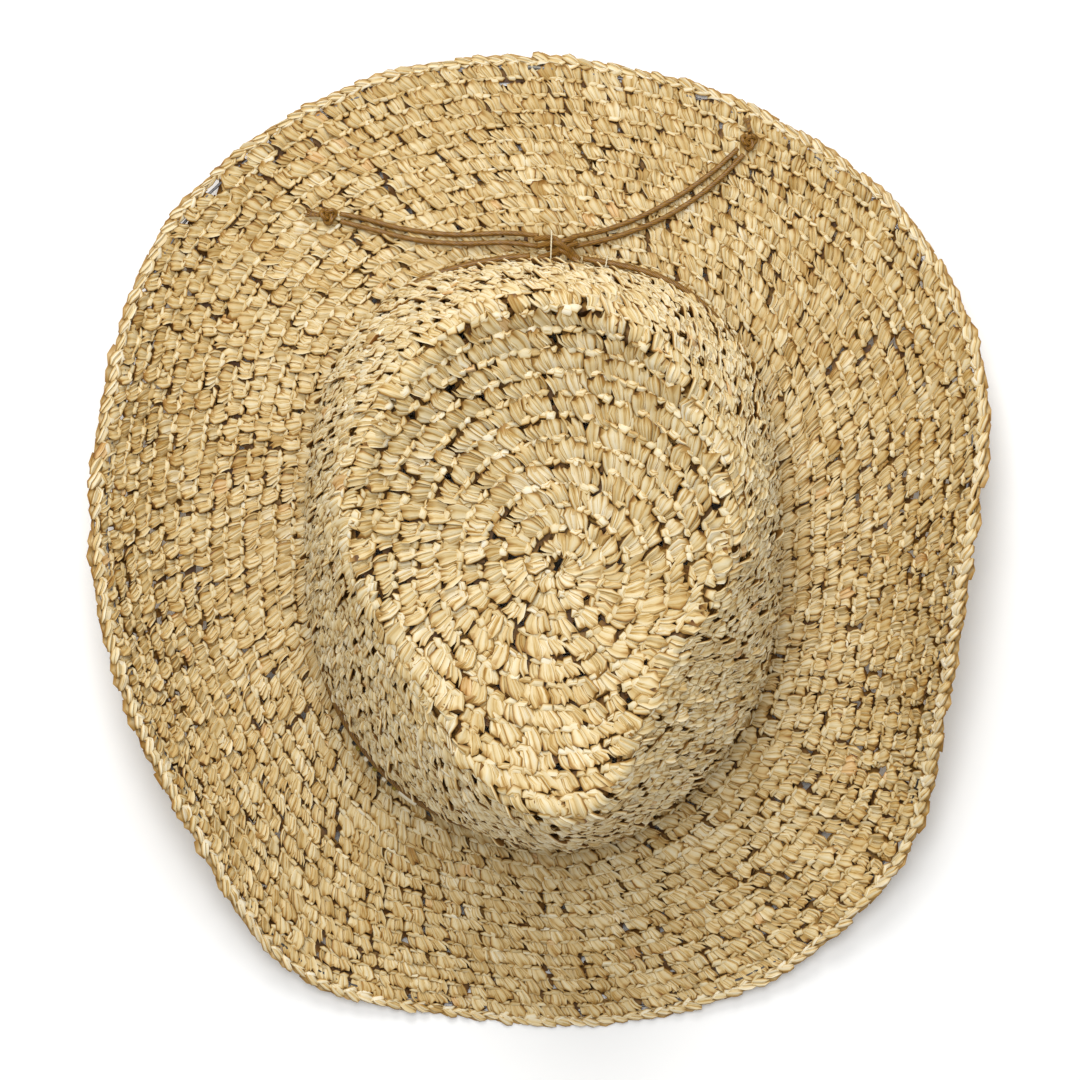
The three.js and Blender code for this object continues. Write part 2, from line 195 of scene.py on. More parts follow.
def on_hat(turn, ring, lift):
    """Points of the hat, lifted off the middle of the crochet along its normal."""
    turn, ring, lift = np.broadcast_arrays(turn, np.maximum(ring, 0.0), lift)
    small = 0.02
    inner, outer = np.maximum(ring - small, 0.0), ring + small
    across = mid_point(turn, outer) - mid_point(turn, inner)
    along = mid_point(turn + small, ring + 1e-6) - mid_point(turn - small, ring + 1e-6)
    normal = np.cross(across, along)
    normal[np.broadcast_to(ring < small, normal.shape[:-1])] = (0, 0, 1)
    normal /= np.maximum(np.linalg.norm(normal, axis=-1, keepdims=True), 1e-12)
    point = mid_point(turn, ring) + normal * lift[..., None]
    height = point[..., 2]
    room = PRESSED_BELOW - GROUND_GAP
    pressed = GROUND_GAP + room * np.exp((np.minimum(height, PRESSED_BELOW) - PRESSED_BELOW) / room)
    point[..., 2] = np.where(height < PRESSED_BELOW, pressed, height)
    return point


edge = on_hat(np.linspace(0, FULL_TURN, 181), float(EDGE_RING), 0.0)
print("edge of the brim, mm:", np.round(np.ptp(edge, axis=0) / MM))

# %% [markdown]
# ## Free tails of the band
#
# Each tail is two strands of 2 mm waxed cotton cord, laid loosely on the brim. The points are
# listed a few centimetres apart, and the brim below gives their height. The camera
# and the free cords come first, because they decide how much room the picture needs.

# %% Find the height of the brim below a point
CLOTH = 4.0 * MM               # thickness of the crochet
CORD = 2.0 * MM                # diameter of the waxed cord
CORD_REST = CORD / 2 + 0.3 * MM     # height of its middle over the cloth
BRIM_SAMPLES = 400


def brim_top(x, y):
    """Height of the brim's upper face below a point seen from above."""
    dx, dy = x - CROWN_AXIS[0], y - CROWN_AXIS[1]
    turn, reach = np.arctan2(dy, dx), np.hypot(dx, dy)
    rings = np.linspace(BREAK_RING, EDGE_RING, BRIM_SAMPLES)
    line = on_hat(turn, rings, CLOTH / 2)
    reaches = np.hypot(line[:, 0] - CROWN_AXIS[0], line[:, 1] - CROWN_AXIS[1])
    return float(np.interp(reach, reaches, line[:, 2]))


def laid(point, lift=CORD_REST):
    """A point laid on the brim; a third number lifts it clear of the curve beside the crown."""
    x, y, extra = (*point, 0.0)[:3]
    return Vector((x, y, brim_top(x, y) + lift + extra))


TAILS = {
    "tail_left_outer": [
        (-0.0006, 0.1112, 0.0034), (-0.012, 0.1124, 0.001), (-0.032, 0.112), (-0.050, 0.1142),
        (-0.064, 0.118), (-0.0736, 0.120)],
    "tail_left_inner": [
        (-0.0006, 0.1074, 0.003), (-0.013, 0.1088, 0.0016), (-0.030, 0.1086, 0.0006),
        (-0.046, 0.1102), (-0.062, 0.1142), (-0.0734, 0.1172)],
    "tail_right_outer": [
        (0.012, 0.1108, 0.0034), (0.024, 0.1136, 0.0006), (0.038, 0.1192), (0.052, 0.1272),
        (0.064, 0.136), (0.073, 0.1442)],
    "tail_right_inner": [
        (0.0124, 0.1072, 0.003), (0.027, 0.1108, 0.001), (0.044, 0.1176), (0.057, 0.1256),
        (0.067, 0.1338), (0.075, 0.142)],
}
TAIL_KNOTS = {"tail_knot_left": (-0.0778, 0.1192), "tail_knot_right": (0.077, 0.1468)}
TAIL_TIPS = {
    "tail_tip_left": [(-0.0818, 0.1197), (-0.0842, 0.1201), (-0.087, 0.1208)],
    "tail_tip_right": [(0.0772, 0.151), (0.0766, 0.1536), (0.0755, 0.157)],
}

# %% [markdown]
# ### How a cord is made
#
# A braided cord is round, but its surface is a row of slanting bundles. A flat grid is rolled
# into a tube with a few shallow lobes that turn as they go along, its seam is welded, its ends
# are filled, and the tube is then laid along the route. The grid's own UV map, scaled to real
# length, carries the braid's fine pattern.


# %% Helpers for lines and grids
CURVE_STEPS = 24               # points worked out between two given points


def smooth_line(points, count):
    """A smooth curve through the points, as evenly spaced points."""
    given = np.array([tuple(p) for p in points], float)
    padded = np.vstack([2 * given[0] - given[1], given, 2 * given[-1] - given[-2]])
    fine = []
    for i in range(1, len(padded) - 2):
        t = np.linspace(0, 1, CURVE_STEPS, endpoint=False)[:, None]
        fine.append(between(padded[i - 1], padded[i], padded[i + 1], padded[i + 2], t))
    fine = np.vstack([*fine, given[-1:]])
    run = run_of(fine)
    even = np.linspace(0, run[-1], count)
    return np.stack([np.interp(even, run, fine[:, k]) for k in range(3)], -1)


def carried_frames(line):
    """A side and an up direction at each point of a line, carried along it without twisting."""
    ahead = np.gradient(line, axis=0)
    ahead /= np.linalg.norm(ahead, axis=1, keepdims=True)
    up = np.array([0.0, 0.0, 1.0]) if abs(ahead[0, 2]) < 0.9 else np.array([1.0, 0.0, 0.0])
    sides, ups = [], []
    for direction in ahead:
        up = up - direction * (up @ direction)
        up = up / np.linalg.norm(up)
        sides.append(np.cross(direction, up))
        ups.append(up)
    return np.array(sides), np.array(ups)


def scaled_uv(bm, wide, long):
    """Gives a unit grid a UV map in metres, before it is bent."""
    uv = bm.loops.layers.uv.verify()
    for face in bm.faces:
        for loop in face.loops:
            at = loop.vert.co
            loop[uv].uv = ((at.x + 0.5) * wide, (at.y + 0.5) * long)


def weld(bm, near):
    """Closes a rolled grid: its seam is merged, its ends are filled, its faces turned outward."""
    bmesh.ops.remove_doubles(bm, verts=bm.verts, dist=near)
    bmesh.ops.holes_fill(bm, edges=[e for e in bm.edges if e.is_boundary], sides=0)
    bmesh.ops.recalc_face_normals(bm, faces=bm.faces)


def rolled_tube(line, section):
    """A grid rolled into a closed tube along a line. section(share, along) gives a point of the
    cross section, (side, up) in metres, for a share of the way round and of the way along."""
    steps = len(line) - 1
    bm = bmesh.new()
    bmesh.ops.create_grid(bm, x_segments=section.sides, y_segments=steps, size=0.5, calc_uvs=True)
    sides, ups = carried_frames(line)
    scaled_uv(bm, section.girth, length_of(line))
    for vert in bm.verts:
        share, along = vert.co.x + 0.5, vert.co.y + 0.5
        step = round(along * steps)
        side, up = section(share % 1.0, along)
        vert.co = Vector(line[step] + sides[step] * side + ups[step] * up)
    weld(bm, 1e-7)
    return bm


def as_object(bm, name, material=None, smooth=True):
    """Puts a finished bmesh on an object at the origin."""
    mesh = bpy.data.meshes.new(name)
    for face in bm.faces:
        face.smooth = smooth
    bm.to_mesh(mesh)
    bm.free()
    piece = bpy.data.objects.new(name, mesh)
    bpy.context.scene.collection.objects.link(piece)
    if material is not None:
        mesh.materials.append(material)
    return piece


def joined(parts):
    """Several bmeshes as one."""
    whole = bmesh.new()
    for part in parts:
        mesh = bpy.data.meshes.new("part")
        part.to_mesh(mesh)
        part.free()
        whole.from_mesh(mesh)
        bpy.data.meshes.remove(mesh)
    return whole


def belongs(piece, slot, *replaced):
    """The piece rides on the hat and stands for CAD nodes, which it hides; slot is not used."""
    if replaced:
        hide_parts(*replaced)
    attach(piece, "root")
    return piece


# %% The cross section of a cord
class CordSection:
    """A round cord with shallow lobes that turn along it."""

    def __init__(self, diameter, length, lobes=4, depth=0.07, pitch=5.5 * MM, sides=16):
        self.radius, self.lobes, self.depth, self.sides = diameter / 2, lobes, depth, sides
        self.turns = length / pitch
        self.girth = math.pi * diameter

    def __call__(self, share, along):
        angle = FULL_TURN * share
        lobe = math.cos(self.lobes * angle - FULL_TURN * self.turns * along)
        radius = self.radius * (1 + self.depth * lobe) / (1 + self.depth)
        return radius * math.cos(angle), -radius * math.sin(angle)


def cord_mesh(points, step=0.6 * MM, diameter=CORD, **kind):
    """A cord along a smooth line through the points, and its length."""
    length = length_of(smooth_line(points, 200))
    line = smooth_line(points, max(int(length / step), 6))
    return rolled_tube(line, CordSection(diameter, length, **kind)), length


# %% Lay the four free strands
tails = {}
for name, points in TAILS.items():
    route = [laid(p) for p in points]
    strand, length = cord_mesh(route)
    tails[name] = belongs(as_object(strand, name + "_cord"), "waxed_cord", name)
    tails[name]["length"] = length
    print(name, "mm:", round(length / MM))

# %% [markdown]
# ### Knots at the ends of the tails
#
# The two strands of each tail are tied together in an overhand knot, which seen from above is a
# small trefoil, and the cut ends beyond it have frayed into their yarns. A trefoil is one line
# of sines and cosines; the cord is laid along it. The frayed end is a fan of thin yarns.

# %% Trefoil knots and frayed ends
TREFOIL = 0.95 * MM
TREFOIL_RISE = 0.9 * MM
KNOT_LIFT = 2.4 * MM
KNOT_CORD = CORD * 0.92        # a little thinner than the free cord
TIP_LIFT = 1.8 * MM
YARN = 0.75 * MM
YARNS = 6


def trefoil(centre, size, rise, quarter_turns):
    """A closed line that loops round its centre three times over and under itself."""
    t = np.linspace(0, FULL_TURN, 60) + quarter_turns * math.pi / 2
    loops = np.stack(
        [(np.sin(t) + 2 * np.sin(2 * t)) * size, (np.cos(t) - 2 * np.cos(2 * t)) * size,
         -np.sin(3 * t) * rise], -1)
    return loops + np.array(centre)


def frayed_end(route, yarns, random):
    """Thin yarns that start together and spread out."""
    parts = []
    start, middle, end = [np.array(p) for p in route]
    for number in range(yarns):
        share = number / (yarns - 1) * 2 - 1
        ahead = (end - start) / np.linalg.norm(end - start)
        side = np.cross((0, 0, 1), ahead)
        spread = side * share * random.uniform(0.6, 1.6) * MM
        rise = np.array([0, 0, random.uniform(-0.6, 0.5) * MM])
        reach = random.uniform(0.65, 1.0)
        points = [start - ahead * MM + spread * 0.3, middle + spread * 0.6 + rise * 0.5,
                  start + (end - start) * reach + spread * 1.1 + rise]
        parts.append(cord_mesh(points, step=0.7 * MM, diameter=YARN, lobes=2, depth=0.15, sides=7)[0])
    return parts


random = np.random.default_rng(5)
tail_ends = {}
for quarter, (name, point) in enumerate(TAIL_KNOTS.items()):
    line = trefoil(laid(point, KNOT_LIFT), TREFOIL, TREFOIL_RISE, quarter)
    knot = rolled_tube(line, CordSection(KNOT_CORD, 30 * MM))
    tail_ends[name] = belongs(as_object(knot, name + "_cord"), "waxed_cord", name)
for name, points in TAIL_TIPS.items():
    fan = joined(frayed_end([laid(p, TIP_LIFT) for p in points], YARNS, random))
    tail_ends[name] = belongs(as_object(fan, name + "_yarns"), "waxed_cord", name)

for name, strand in tails.items():
    line = smooth_line([laid(p) for p in TAILS[name]], 24)

# %% [markdown]
# ## Materials
#
# All the colours are written as sRGB hex values, as a paint chart would give them, and one
# function turns them to the linear values that a shader wants.


# %% Colour and node helpers
def linear(hex_colour):
    """An sRGB hex value as linear red, green, blue and alpha."""
    parts = [int(hex_colour[i:i + 2], 16) / 255 for i in (1, 3, 5)]
    return (*[c / 12.92 if c <= 0.04045 else ((c + 0.055) / 1.055) ** 2.4 for c in parts], 1.0)


def new_material(name):
    """An empty material with a Principled shader, ready for its nodes."""
    material = bpy.data.materials.new(name)
    material.use_nodes = True
    return material, material.node_tree.nodes["Principled BSDF"]


def node(material, kind, settings=None, **links):
    """Adds a node. settings are its properties and plain input values; links are its inputs
    that come from other nodes, an output each."""
    tree = material.node_tree
    made = tree.nodes.new(kind)
    for key, value in (settings or {}).items():
        if isinstance(key, str) and hasattr(made, key):
            setattr(made, key, value)
        else:
            made.inputs[key].default_value = value
    for key, output in links.items():
        slot = key.replace("_", " ")
        target = made.inputs[slot] if slot in made.inputs else made.inputs[int(key[1:])]
        tree.links.new(output, target)
    return made


def link(material, output, shader, socket):
    """Leads an output to a socket of the shader."""
    material.node_tree.links.new(output, shader.inputs[socket])


def coated(material, shader, colour, roughness):
    """Gives the shader its colour and its roughness."""
    link(material, colour, shader, "Base Color")
    shader.inputs["Roughness"].default_value = roughness


def bumped(material, shader, height, strength, deep):
    """Turns a height into fine relief on the shader."""
    bump = node(
        material, "ShaderNodeBump", {"Strength": strength, "Distance": deep}, Height=height)
    link(material, bump.outputs["Normal"], shader, "Normal")


def mapped(material, slant=0.0):
    """The piece's own UV map in millimetres, turned by a slant in degrees."""
    uv = node(material, "ShaderNodeTexCoord").outputs["UV"]
    return node(
        material, "ShaderNodeMapping",
        {"Rotation": (0, 0, math.radians(slant)), "Scale": (1 / MM, 1 / MM, 1)},
        Vector=uv).outputs["Vector"]


def colour_steps(material, factor, steps):
    """A colour ramp from (place, hex colour) steps."""
    ramp = node(material, "ShaderNodeValToRGB", None, Fac=factor)
    elements = ramp.color_ramp.elements
    while len(elements) < len(steps):
        elements.new(0.5)
    for element, (place, colour) in zip(elements, steps):
        element.position = place
        element.color = linear(colour)
    return ramp.outputs["Color"]


# %% [markdown]
# ### Raffia
#
# Dried raffia is straw-coloured, dull and a little waxy. What the eye sees first is that every
# ribbon has its own tone, from cream to tan, then the fine fibres that run along it, and then
# the brown shade between the ribbons, which is painted into the colour. The tone of each ribbon
# is an attribute of the mesh, so that neighbours differ as they do in a hank; a second attribute,
# depth, carries the painted shade, darkest in the creases, at the ends of the strands and
# between the layers of the fabric; the fibres are noise drawn out along the ribbon's own UV
# map, one fibre every 0.3 mm.

# %% Raffia
FOLD = 0.9 * MM
FIBRE = 0.32 * MM
DRAWN_OUT = 0.07               # noise runs this much slower along the ribbon than across
RAFFIA_TONES = [
    (0.0, "#cdb27a"), (0.12, "#dfcb9c"), (0.4, "#ecdeb8"), (0.7, "#f4eacb"), (0.93, "#f9f2dc"),
    (1.0, "#ecd0a4")]
# painted shade: no darkening where depth is 0, dark brown where it is 1
RAFFIA_SHADE = [
    (0.0, "#ffffff"), (0.38, "#f5e9cd"), (0.62, "#c4a266"), (0.82, "#8a6530"), (1.0, "#523812")]


def drawn_out(material, uv, pitch, detail):
    """Noise drawn out along a ribbon, a streak every pitch."""
    place = node(
        material, "ShaderNodeMapping", {"Scale": (1 / pitch, DRAWN_OUT / pitch, 1)}, Vector=uv)
    return node(
        material, "ShaderNodeTexNoise", {"Scale": 1.0, "Detail": detail, "Roughness": 0.6},
        Vector=place.outputs["Vector"]).outputs["Fac"]


def raffia(name, tones):
    """Dry, papery ribbon: dull, a little see-through, with fine fibres along it and painted shade from its
    depth attribute.
    """
    material, shader = new_material(name)
    uv = node(material, "ShaderNodeTexCoord").outputs["UV"]
    folds = drawn_out(material, uv, FOLD, 2.0)
    fibres = drawn_out(material, uv, FIBRE, 2.0)
    both = node(
        material, "ShaderNodeMath", {"operation": "MULTIPLY_ADD", 1: 0.45}, i0=fibres, i2=folds)
    tone = node(material, "ShaderNodeAttribute", {"attribute_name": "tone"}).outputs["Fac"]
    depth = node(material, "ShaderNodeAttribute", {"attribute_name": "depth"}).outputs["Fac"]
    spread = node(
        material, "ShaderNodeMapRange", {"From Min": 0.5, "From Max": 0.95}, Value=both.outputs[0])
    # darker where the fibres and folds sink: partly the fibres' own tone, partly a painted shade in the
    # folds
    streak = colour_steps(
        material, spread.outputs[0],
        [(0.0, "#c2a066"), (0.2, "#e4cf9f"), (0.42, "#fffaf0"), (1.0, "#ffffff")])
    ribbon = node(
        material, "ShaderNodeMix", {"data_type": "RGBA", "blend_type": "MULTIPLY", 0: 1.0},
        i6=colour_steps(material, tone, tones), i7=streak)
    # painted shade: the depth attribute darkens the folds, the strand ends and the level between the
    # layers
    deep = node(
        material, "ShaderNodeMix", {"data_type": "RGBA", "blend_type": "MULTIPLY", 0: 1.0},
        i6=ribbon.outputs[2], i7=colour_steps(material, depth, RAFFIA_SHADE))
    coated(material, shader, deep.outputs[2], 0.55)
    bumped(material, shader, both.outputs[0], 0.7, 0.25 * MM)
    shader.inputs["Specular IOR Level"].default_value = 0.4
    thin = node(material, "ShaderNodeBsdfTranslucent", None, Color=deep.outputs[2])
    mixed = node(material, "ShaderNodeMixShader", {0: 0.16})
    tree = material.node_tree
    tree.links.new(shader.outputs[0], mixed.inputs[1])
    tree.links.new(thin.outputs[0], mixed.inputs[2])
    tree.links.new(mixed.outputs[0], tree.nodes["Material Output"].inputs["Surface"])
    return material


RAFFIA = raffia("raffia_ribbon", RAFFIA_TONES)

# %% [markdown]
# ### Waxed cotton cord
#
# The cord is braided cotton, dyed brown and pulled through wax. The wax gives it a soft shine
# on the crests of the braid, and its colour is painted lighter there, a painted highlight, and
# darker between them, a painted shade.


# %% Waxed cord
def waxed_cord(name):
    """Braided cotton under wax: brown and softly shiny, with painted shade between the bundles and a
    painted highlight on them.
    """
    material, shader = new_material(name)
    place = mapped(material, slant=28)
    braid = node(
        material, "ShaderNodeTexWave",
        {"Scale": 0.45, "Distortion": 1.2, "Detail": 2.0, "Detail Scale": 2.0}, Vector=place)
    wear = node(material, "ShaderNodeTexNoise", {"Scale": 0.5, "Detail": 4.0}, Vector=place)
    both = node(
        material, "ShaderNodeMath", {"operation": "MULTIPLY_ADD", 1: 0.65},
        i0=braid.outputs["Fac"], i2=wear.outputs["Fac"])
    # painted shade between the bundles of the braid and a painted highlight on their crests
    colour = colour_steps(
        material, both.outputs[0],
        [(0.2, "#2e1b04"), (0.45, "#553409"), (0.7, "#70490f"), (1.0, "#946a1e")])
    coated(material, shader, colour, 0.5)
    bumped(material, shader, both.outputs[0], 0.5, 0.12 * MM)
    return material


WAXED_CORD = waxed_cord("waxed_cotton_cord")
for piece in (*tails.values(), *tail_ends.values()):
    piece.data.materials.append(WAXED_CORD)

# %% [markdown]
# ## One stitch
#
# A single crochet stitch, seen from the right side of the work, is a small arch: the ribbon
# comes up at the inner end, folds over, and runs out in two legs. Each leg is a pleated fan
# that widens outward, and its ragged end lies over the foot of the next round. A small round
# bead lies between the inner ends of the legs, and two ribbons cross the back of the work.
# Each of these is one flat strand with a few pleats, a grid rolled flat. The stitch is
# drawn in its own measures: x is one stitch wide, y is one round deep, and z is a real lift in
# metres, because the raffia is as thick in a narrow stitch as in a wide one.

# %% Strands of the stitch: route (x, y, lift in mm), width and thickness in mm
STITCH_SIZE = 7.0 * MM         # what one unit of x or y is, for widths and normals
VARIANTS = 12                  # differing stitches in the row that is repeated
STRANDS = [
    # the leg that leads, a broad pleated fan that opens outward and ends ragged
    {"route": [(.66, -.04, -.3), (.54, .16, .9), (.38, .52, 1.45), (.22, .90, 1.45)],
     "width": 5.6, "thick": 1.5, "steps": 4, "fold": "pleated", "shape": "fan", "jag": .13},
    # the leg that follows, narrower
    {"route": [(1.00, .02, -.3), (.92, .24, .7), (.80, .56, 1.15), (.70, .90, 1.1)],
     "width": 4.2, "thick": 1.4, "steps": 3, "fold": "broad", "shape": "fan", "jag": .10},
    # the fold over the top of the arch
    {"route": [(.36, .24, .4), (.56, .03, 1.1), (.82, .14, .6)],
     "width": 3.3, "thick": 1.4, "steps": 3, "fold": "narrow", "shape": "bud", "jag": 0},
    # a small round bead, between this leg and the first leg of the next stitch
    {"route": [(.76, .14, .3), (.98, .03, 1.0), (1.20, .16, .4)],
     "width": 3.0, "thick": 1.6, "steps": 3, "fold": "narrow", "shape": "bud", "jag": 0},
    # two strands at the back of the work, which lie in the painted shade between the layers
    {"route": [(.50, -.10, -.9), (.44, .35, -1.4), (.50, .70, -1.4), (.62, 1.10, -.9)],
     "width": 6.0, "thick": .9, "steps": 2, "fold": "back", "shape": "band", "jag": 0},
    {"route": [(-.12, .12, -1.2), (.35, .04, -1.6), (.80, .10, -1.6), (1.15, .08, -1.2)],
     "width": 4.8, "thick": .9, "steps": 2, "fold": "back", "shape": "band", "jag": 0},
]

# Across a ribbon: place in widths, height in thicknesses, and how much painted shade falls there, in its
# folds and at its edges.
FOLDS = {
    "pleated": [
        (-.5, -.1, .8), (-.36, .36, 0), (-.20, .10, .5), (-.04, .50, 0), (.12, .16, .5),
        (.28, .44, 0), (.5, -.1, .8), (.05, -.5, .95)],
    "broad": [
        (-.5, -.1, .8), (-.24, .44, 0), (.02, .14, .45), (.26, .5, 0), (.5, -.1, .8), (0, -.5, .95)],
    "narrow": [(-.5, 0, .75), (-.16, .48, 0), (.2, .44, 0), (.5, 0, .75), (0, -.5, .95)],
    "back": [(-.5, 0, .6), (0, .5, .35), (.5, 0, .6), (.1, -.5, 0)],
}
# Along a ribbon: how broad it is at even steps from one end to the other.
SHAPES = {
    "fan": [.42, .72, .92, 1.04, .9], "leaf": [.5, .82, 1, .95, .5], "bud": [.4, .9, 1, .9, .4],
    "band": [.8, 1, .8]}
END_SHADE = 0.45               # painted shade at the two ends of a strand, where it goes under the next
ROLL, SKEW = 0.26, 0.07        # spread of a strand's roll, and of the places across its width
WOBBLE = (0.055, 0.05, 0.16)   # spread of the points of a route: x, y, and lift in mm


# %% Build one stitch, a little different each time
def strand_mesh(strand, random, number, size):
    """One strand of a stitch: a grid rolled flat along its route."""
    fold, shape, steps = FOLDS[strand["fold"]], SHAPES[strand["shape"]], strand["steps"]
    wobble = random.normal(0, 1, (len(strand["route"]), 3)) * WOBBLE
    route = np.array(strand["route"]) + wobble
    route[:, 2] *= MM / size
    line = smooth_line(route, steps + 1)
    sides, ups = carried_frames(line)
    width = strand["width"] * random.uniform(0.82, 1.18) * MM / size
    thick = strand["thick"] * random.uniform(0.82, 1.15) * MM / size
    roll = random.normal(0, ROLL)
    skew = random.normal(0, SKEW, len(fold))
    ragged = random.normal(0, strand["jag"], len(fold))
    outward = Vector(line[-1] - line[-2]).normalized()
    bm = bmesh.new()
    bmesh.ops.create_grid(bm, x_segments=len(fold), y_segments=steps, size=0.5, calc_uvs=True)
    scaled_uv(bm, 2 * width * size, size)
    strand_of = bm.verts.layers.int.new("strand")
    crease_shade_of = bm.verts.layers.float.new("crease_shade")
    for vert in bm.verts:
        share, along = vert.co.x + 0.5, vert.co.y + 0.5
        step, place = round(along * steps), round(share * len(fold)) % len(fold)
        across, high, crease_shade = fold[place]
        broad = np.interp(along, np.linspace(0, 1, len(shape)), shape)
        across, high = (across + skew[place]) * width * broad, high * thick * (0.4 + 0.6 * broad)
        side = across * math.cos(roll) - high * math.sin(roll)
        up = across * math.sin(roll) + high * math.cos(roll)
        vert.co = Vector(line[step] + sides[step] * side + ups[step] * up)
        if step == steps:
            vert.co += outward * ragged[place]
        vert[strand_of] = number
        # painted shade, in the folds and edges of the strand and at both of its ends
        vert[crease_shade_of] = 1 - (1 - crease_shade) * (1 - END_SHADE * (step in (0, steps)))
    weld(bm, 1e-6)
    return bm


def stitch_row(name, strands, size, seed):
    """A row of differing stitches, side by side, as one mesh."""
    random = np.random.default_rng(seed)
    parts = []
    for place in range(VARIANTS):
        for number, strand in enumerate(strands):
            part = strand_mesh(strand, random, number, size)
            bmesh.ops.translate(part, vec=(place, 0, 0), verts=part.verts)
            parts.append(part)
    row = as_object(joined(parts), name, RAFFIA)
    row.data.set_sharp_from_angle(angle=math.radians(50))
    print(name, "faces in one stitch:", len(row.data.polygons) // VARIANTS)
    return row


stitches = stitch_row("stitches", STRANDS, STITCH_SIZE, seed=4)

# %% [markdown]
# ## Where each round runs
#
# The rounds are as far apart as one stitch is deep: 8 mm on the tip and tighter on the side
# of the crown. A table holds, for every degree round the hat and every twentieth of a round,
# the ring of the block that it lies on. The spiral ends at the edge of the brim, where its
# last stitches get shorter until the work is level.

# %% Table of rounds
TIP_ROUND_DEPTH = 8.0 * MM
ROUNDS_TO_BREAK = 30
BRIM_ROUNDS = 13.5
ALL_ROUNDS = ROUNDS_TO_BREAK + BRIM_ROUNDS
EDGE_PLAIT_INSET = 1.6 * MM
ROUND_STEP = 0.05
SPIRAL_START = math.radians(60)
START_SHARE = 0.3              # the first round is worked into a ring, and so gains less
LEVELLED_ROUNDS = 3            # rounds at the edge that share out the step of the spiral
EDGE_SPAN, EDGE_ENTRIES = 0.95, 20  # rings and entries over which the slope at the edge is taken

turns = np.linspace(0, FULL_TURN, 361)
ring_steps = np.linspace(0, EDGE_RING, 301)
grid_turns, grid_rings = np.meshgrid(turns, ring_steps, indexing="ij")
surface = mid_point(grid_turns, grid_rings)
run = np.zeros_like(grid_rings)
run[:, 1:] = np.cumsum(np.linalg.norm(np.diff(surface, axis=1), axis=2), axis=1)

round_levels = np.arange(0, ALL_ROUNDS + 1.5, ROUND_STEP)
ring_table = np.empty((len(turns), len(round_levels)))
for i in range(len(turns)):
    at_ridge, at_break, at_edge = np.interp([RIDGE_RING, BREAK_RING, EDGE_RING], ring_steps, run[i])
    at_edge -= EDGE_PLAIT_INSET
    ridge_round = at_ridge / TIP_ROUND_DEPTH
    left_over = 1.0 - (ALL_ROUNDS + START_SHARE - (SPIRAL_START - turns[i]) / FULL_TURN) % 1.0
    last_depth = (at_edge - at_break) / (BRIM_ROUNDS + 0.5)
    levelled = at_edge - last_depth * (LEVELLED_ROUNDS + 0.5)
    rounds = [
        0, ridge_round, ROUNDS_TO_BREAK, ALL_ROUNDS - LEVELLED_ROUNDS, ALL_ROUNDS + left_over,
        ALL_ROUNDS + 1.5]
    lengths = [0, at_ridge, at_break, levelled, at_edge, at_edge + 1.5 * MM]
    at = np.interp(round_levels, rounds, lengths)
    ring_table[i] = np.interp(at, run[i], ring_steps)
    beyond = at > run[i, -1]
    slope = EDGE_SPAN / (run[i, -1] - run[i, -EDGE_ENTRIES])
    ring_table[i, beyond] = EDGE_RING + (at[beyond] - run[i, -1]) * slope


def ring_of_round(turn, level):
    """Reads the table between its entries."""
    a = (turn % FULL_TURN) / FULL_TURN * (len(turns) - 1)
    b = np.clip(level / ROUND_STEP, 0, len(round_levels) - 1.001)
    i, j = np.floor(a).astype(int), np.floor(b).astype(int)
    u, v = a - i, b - j
    low = mix(ring_table[i, j], ring_table[i, j + 1], v)
    high = mix(ring_table[i + 1, j], ring_table[i + 1, j + 1], v)
    return mix(low, high, u)


# %% Count the stitches of the spiral
STITCH_WIDTHS = ((0, 11, 16, 44), (8.4, 8.2, 7.4, 7.2))    # round, width in mm
LEAST_STITCHES = 6.5
TURN_STEP = 0.1


def level_of_turn(count):
    """The round that the inner end of a stitch lies on, after so many turns of the spiral."""
    return np.where(count < 1, (1 - START_SHARE) * count, count - START_SHARE)


turn_counts = np.arange(0, ALL_ROUNDS + START_SHARE + 0.5, TURN_STEP)
girths = []
for count in turn_counts:
    ring = ring_of_round(turns, np.full_like(turns, level_of_turn(count) + 0.5))
    girths.append(length_of(mid_point(turns, ring)))
widths = np.interp(level_of_turn(turn_counts), *STITCH_WIDTHS) * MM
per_round = np.maximum(np.array(girths) / widths, LEAST_STITCHES)
per_step = (per_round[1:] + per_round[:-1]) / 2 * TURN_STEP
stitch_count = np.concatenate([[0], np.cumsum(per_step)])


def stitch_at(level):
    """The number of the stitch whose inner end lies on this round."""
    return int(round(float(np.interp(level + START_SHARE, turn_counts, stitch_count))))


LAST_STITCH = stitch_at(ALL_ROUNDS)
print("stitches in the spiral:", LAST_STITCH)

# %% [markdown]
# ## Work the spiral
#
# The row of stitches is repeated with an Array modifier until it is as long as one part of the
# hat needs. Then every vertex is moved from the straight row onto the hat: its place along the
# row says which stitch of the spiral it belongs to, and so its angle and its round. Seeded
# random numbers make each stitch a little larger, smaller or more crooked than its neighbour,
# and give each strand its own tone.

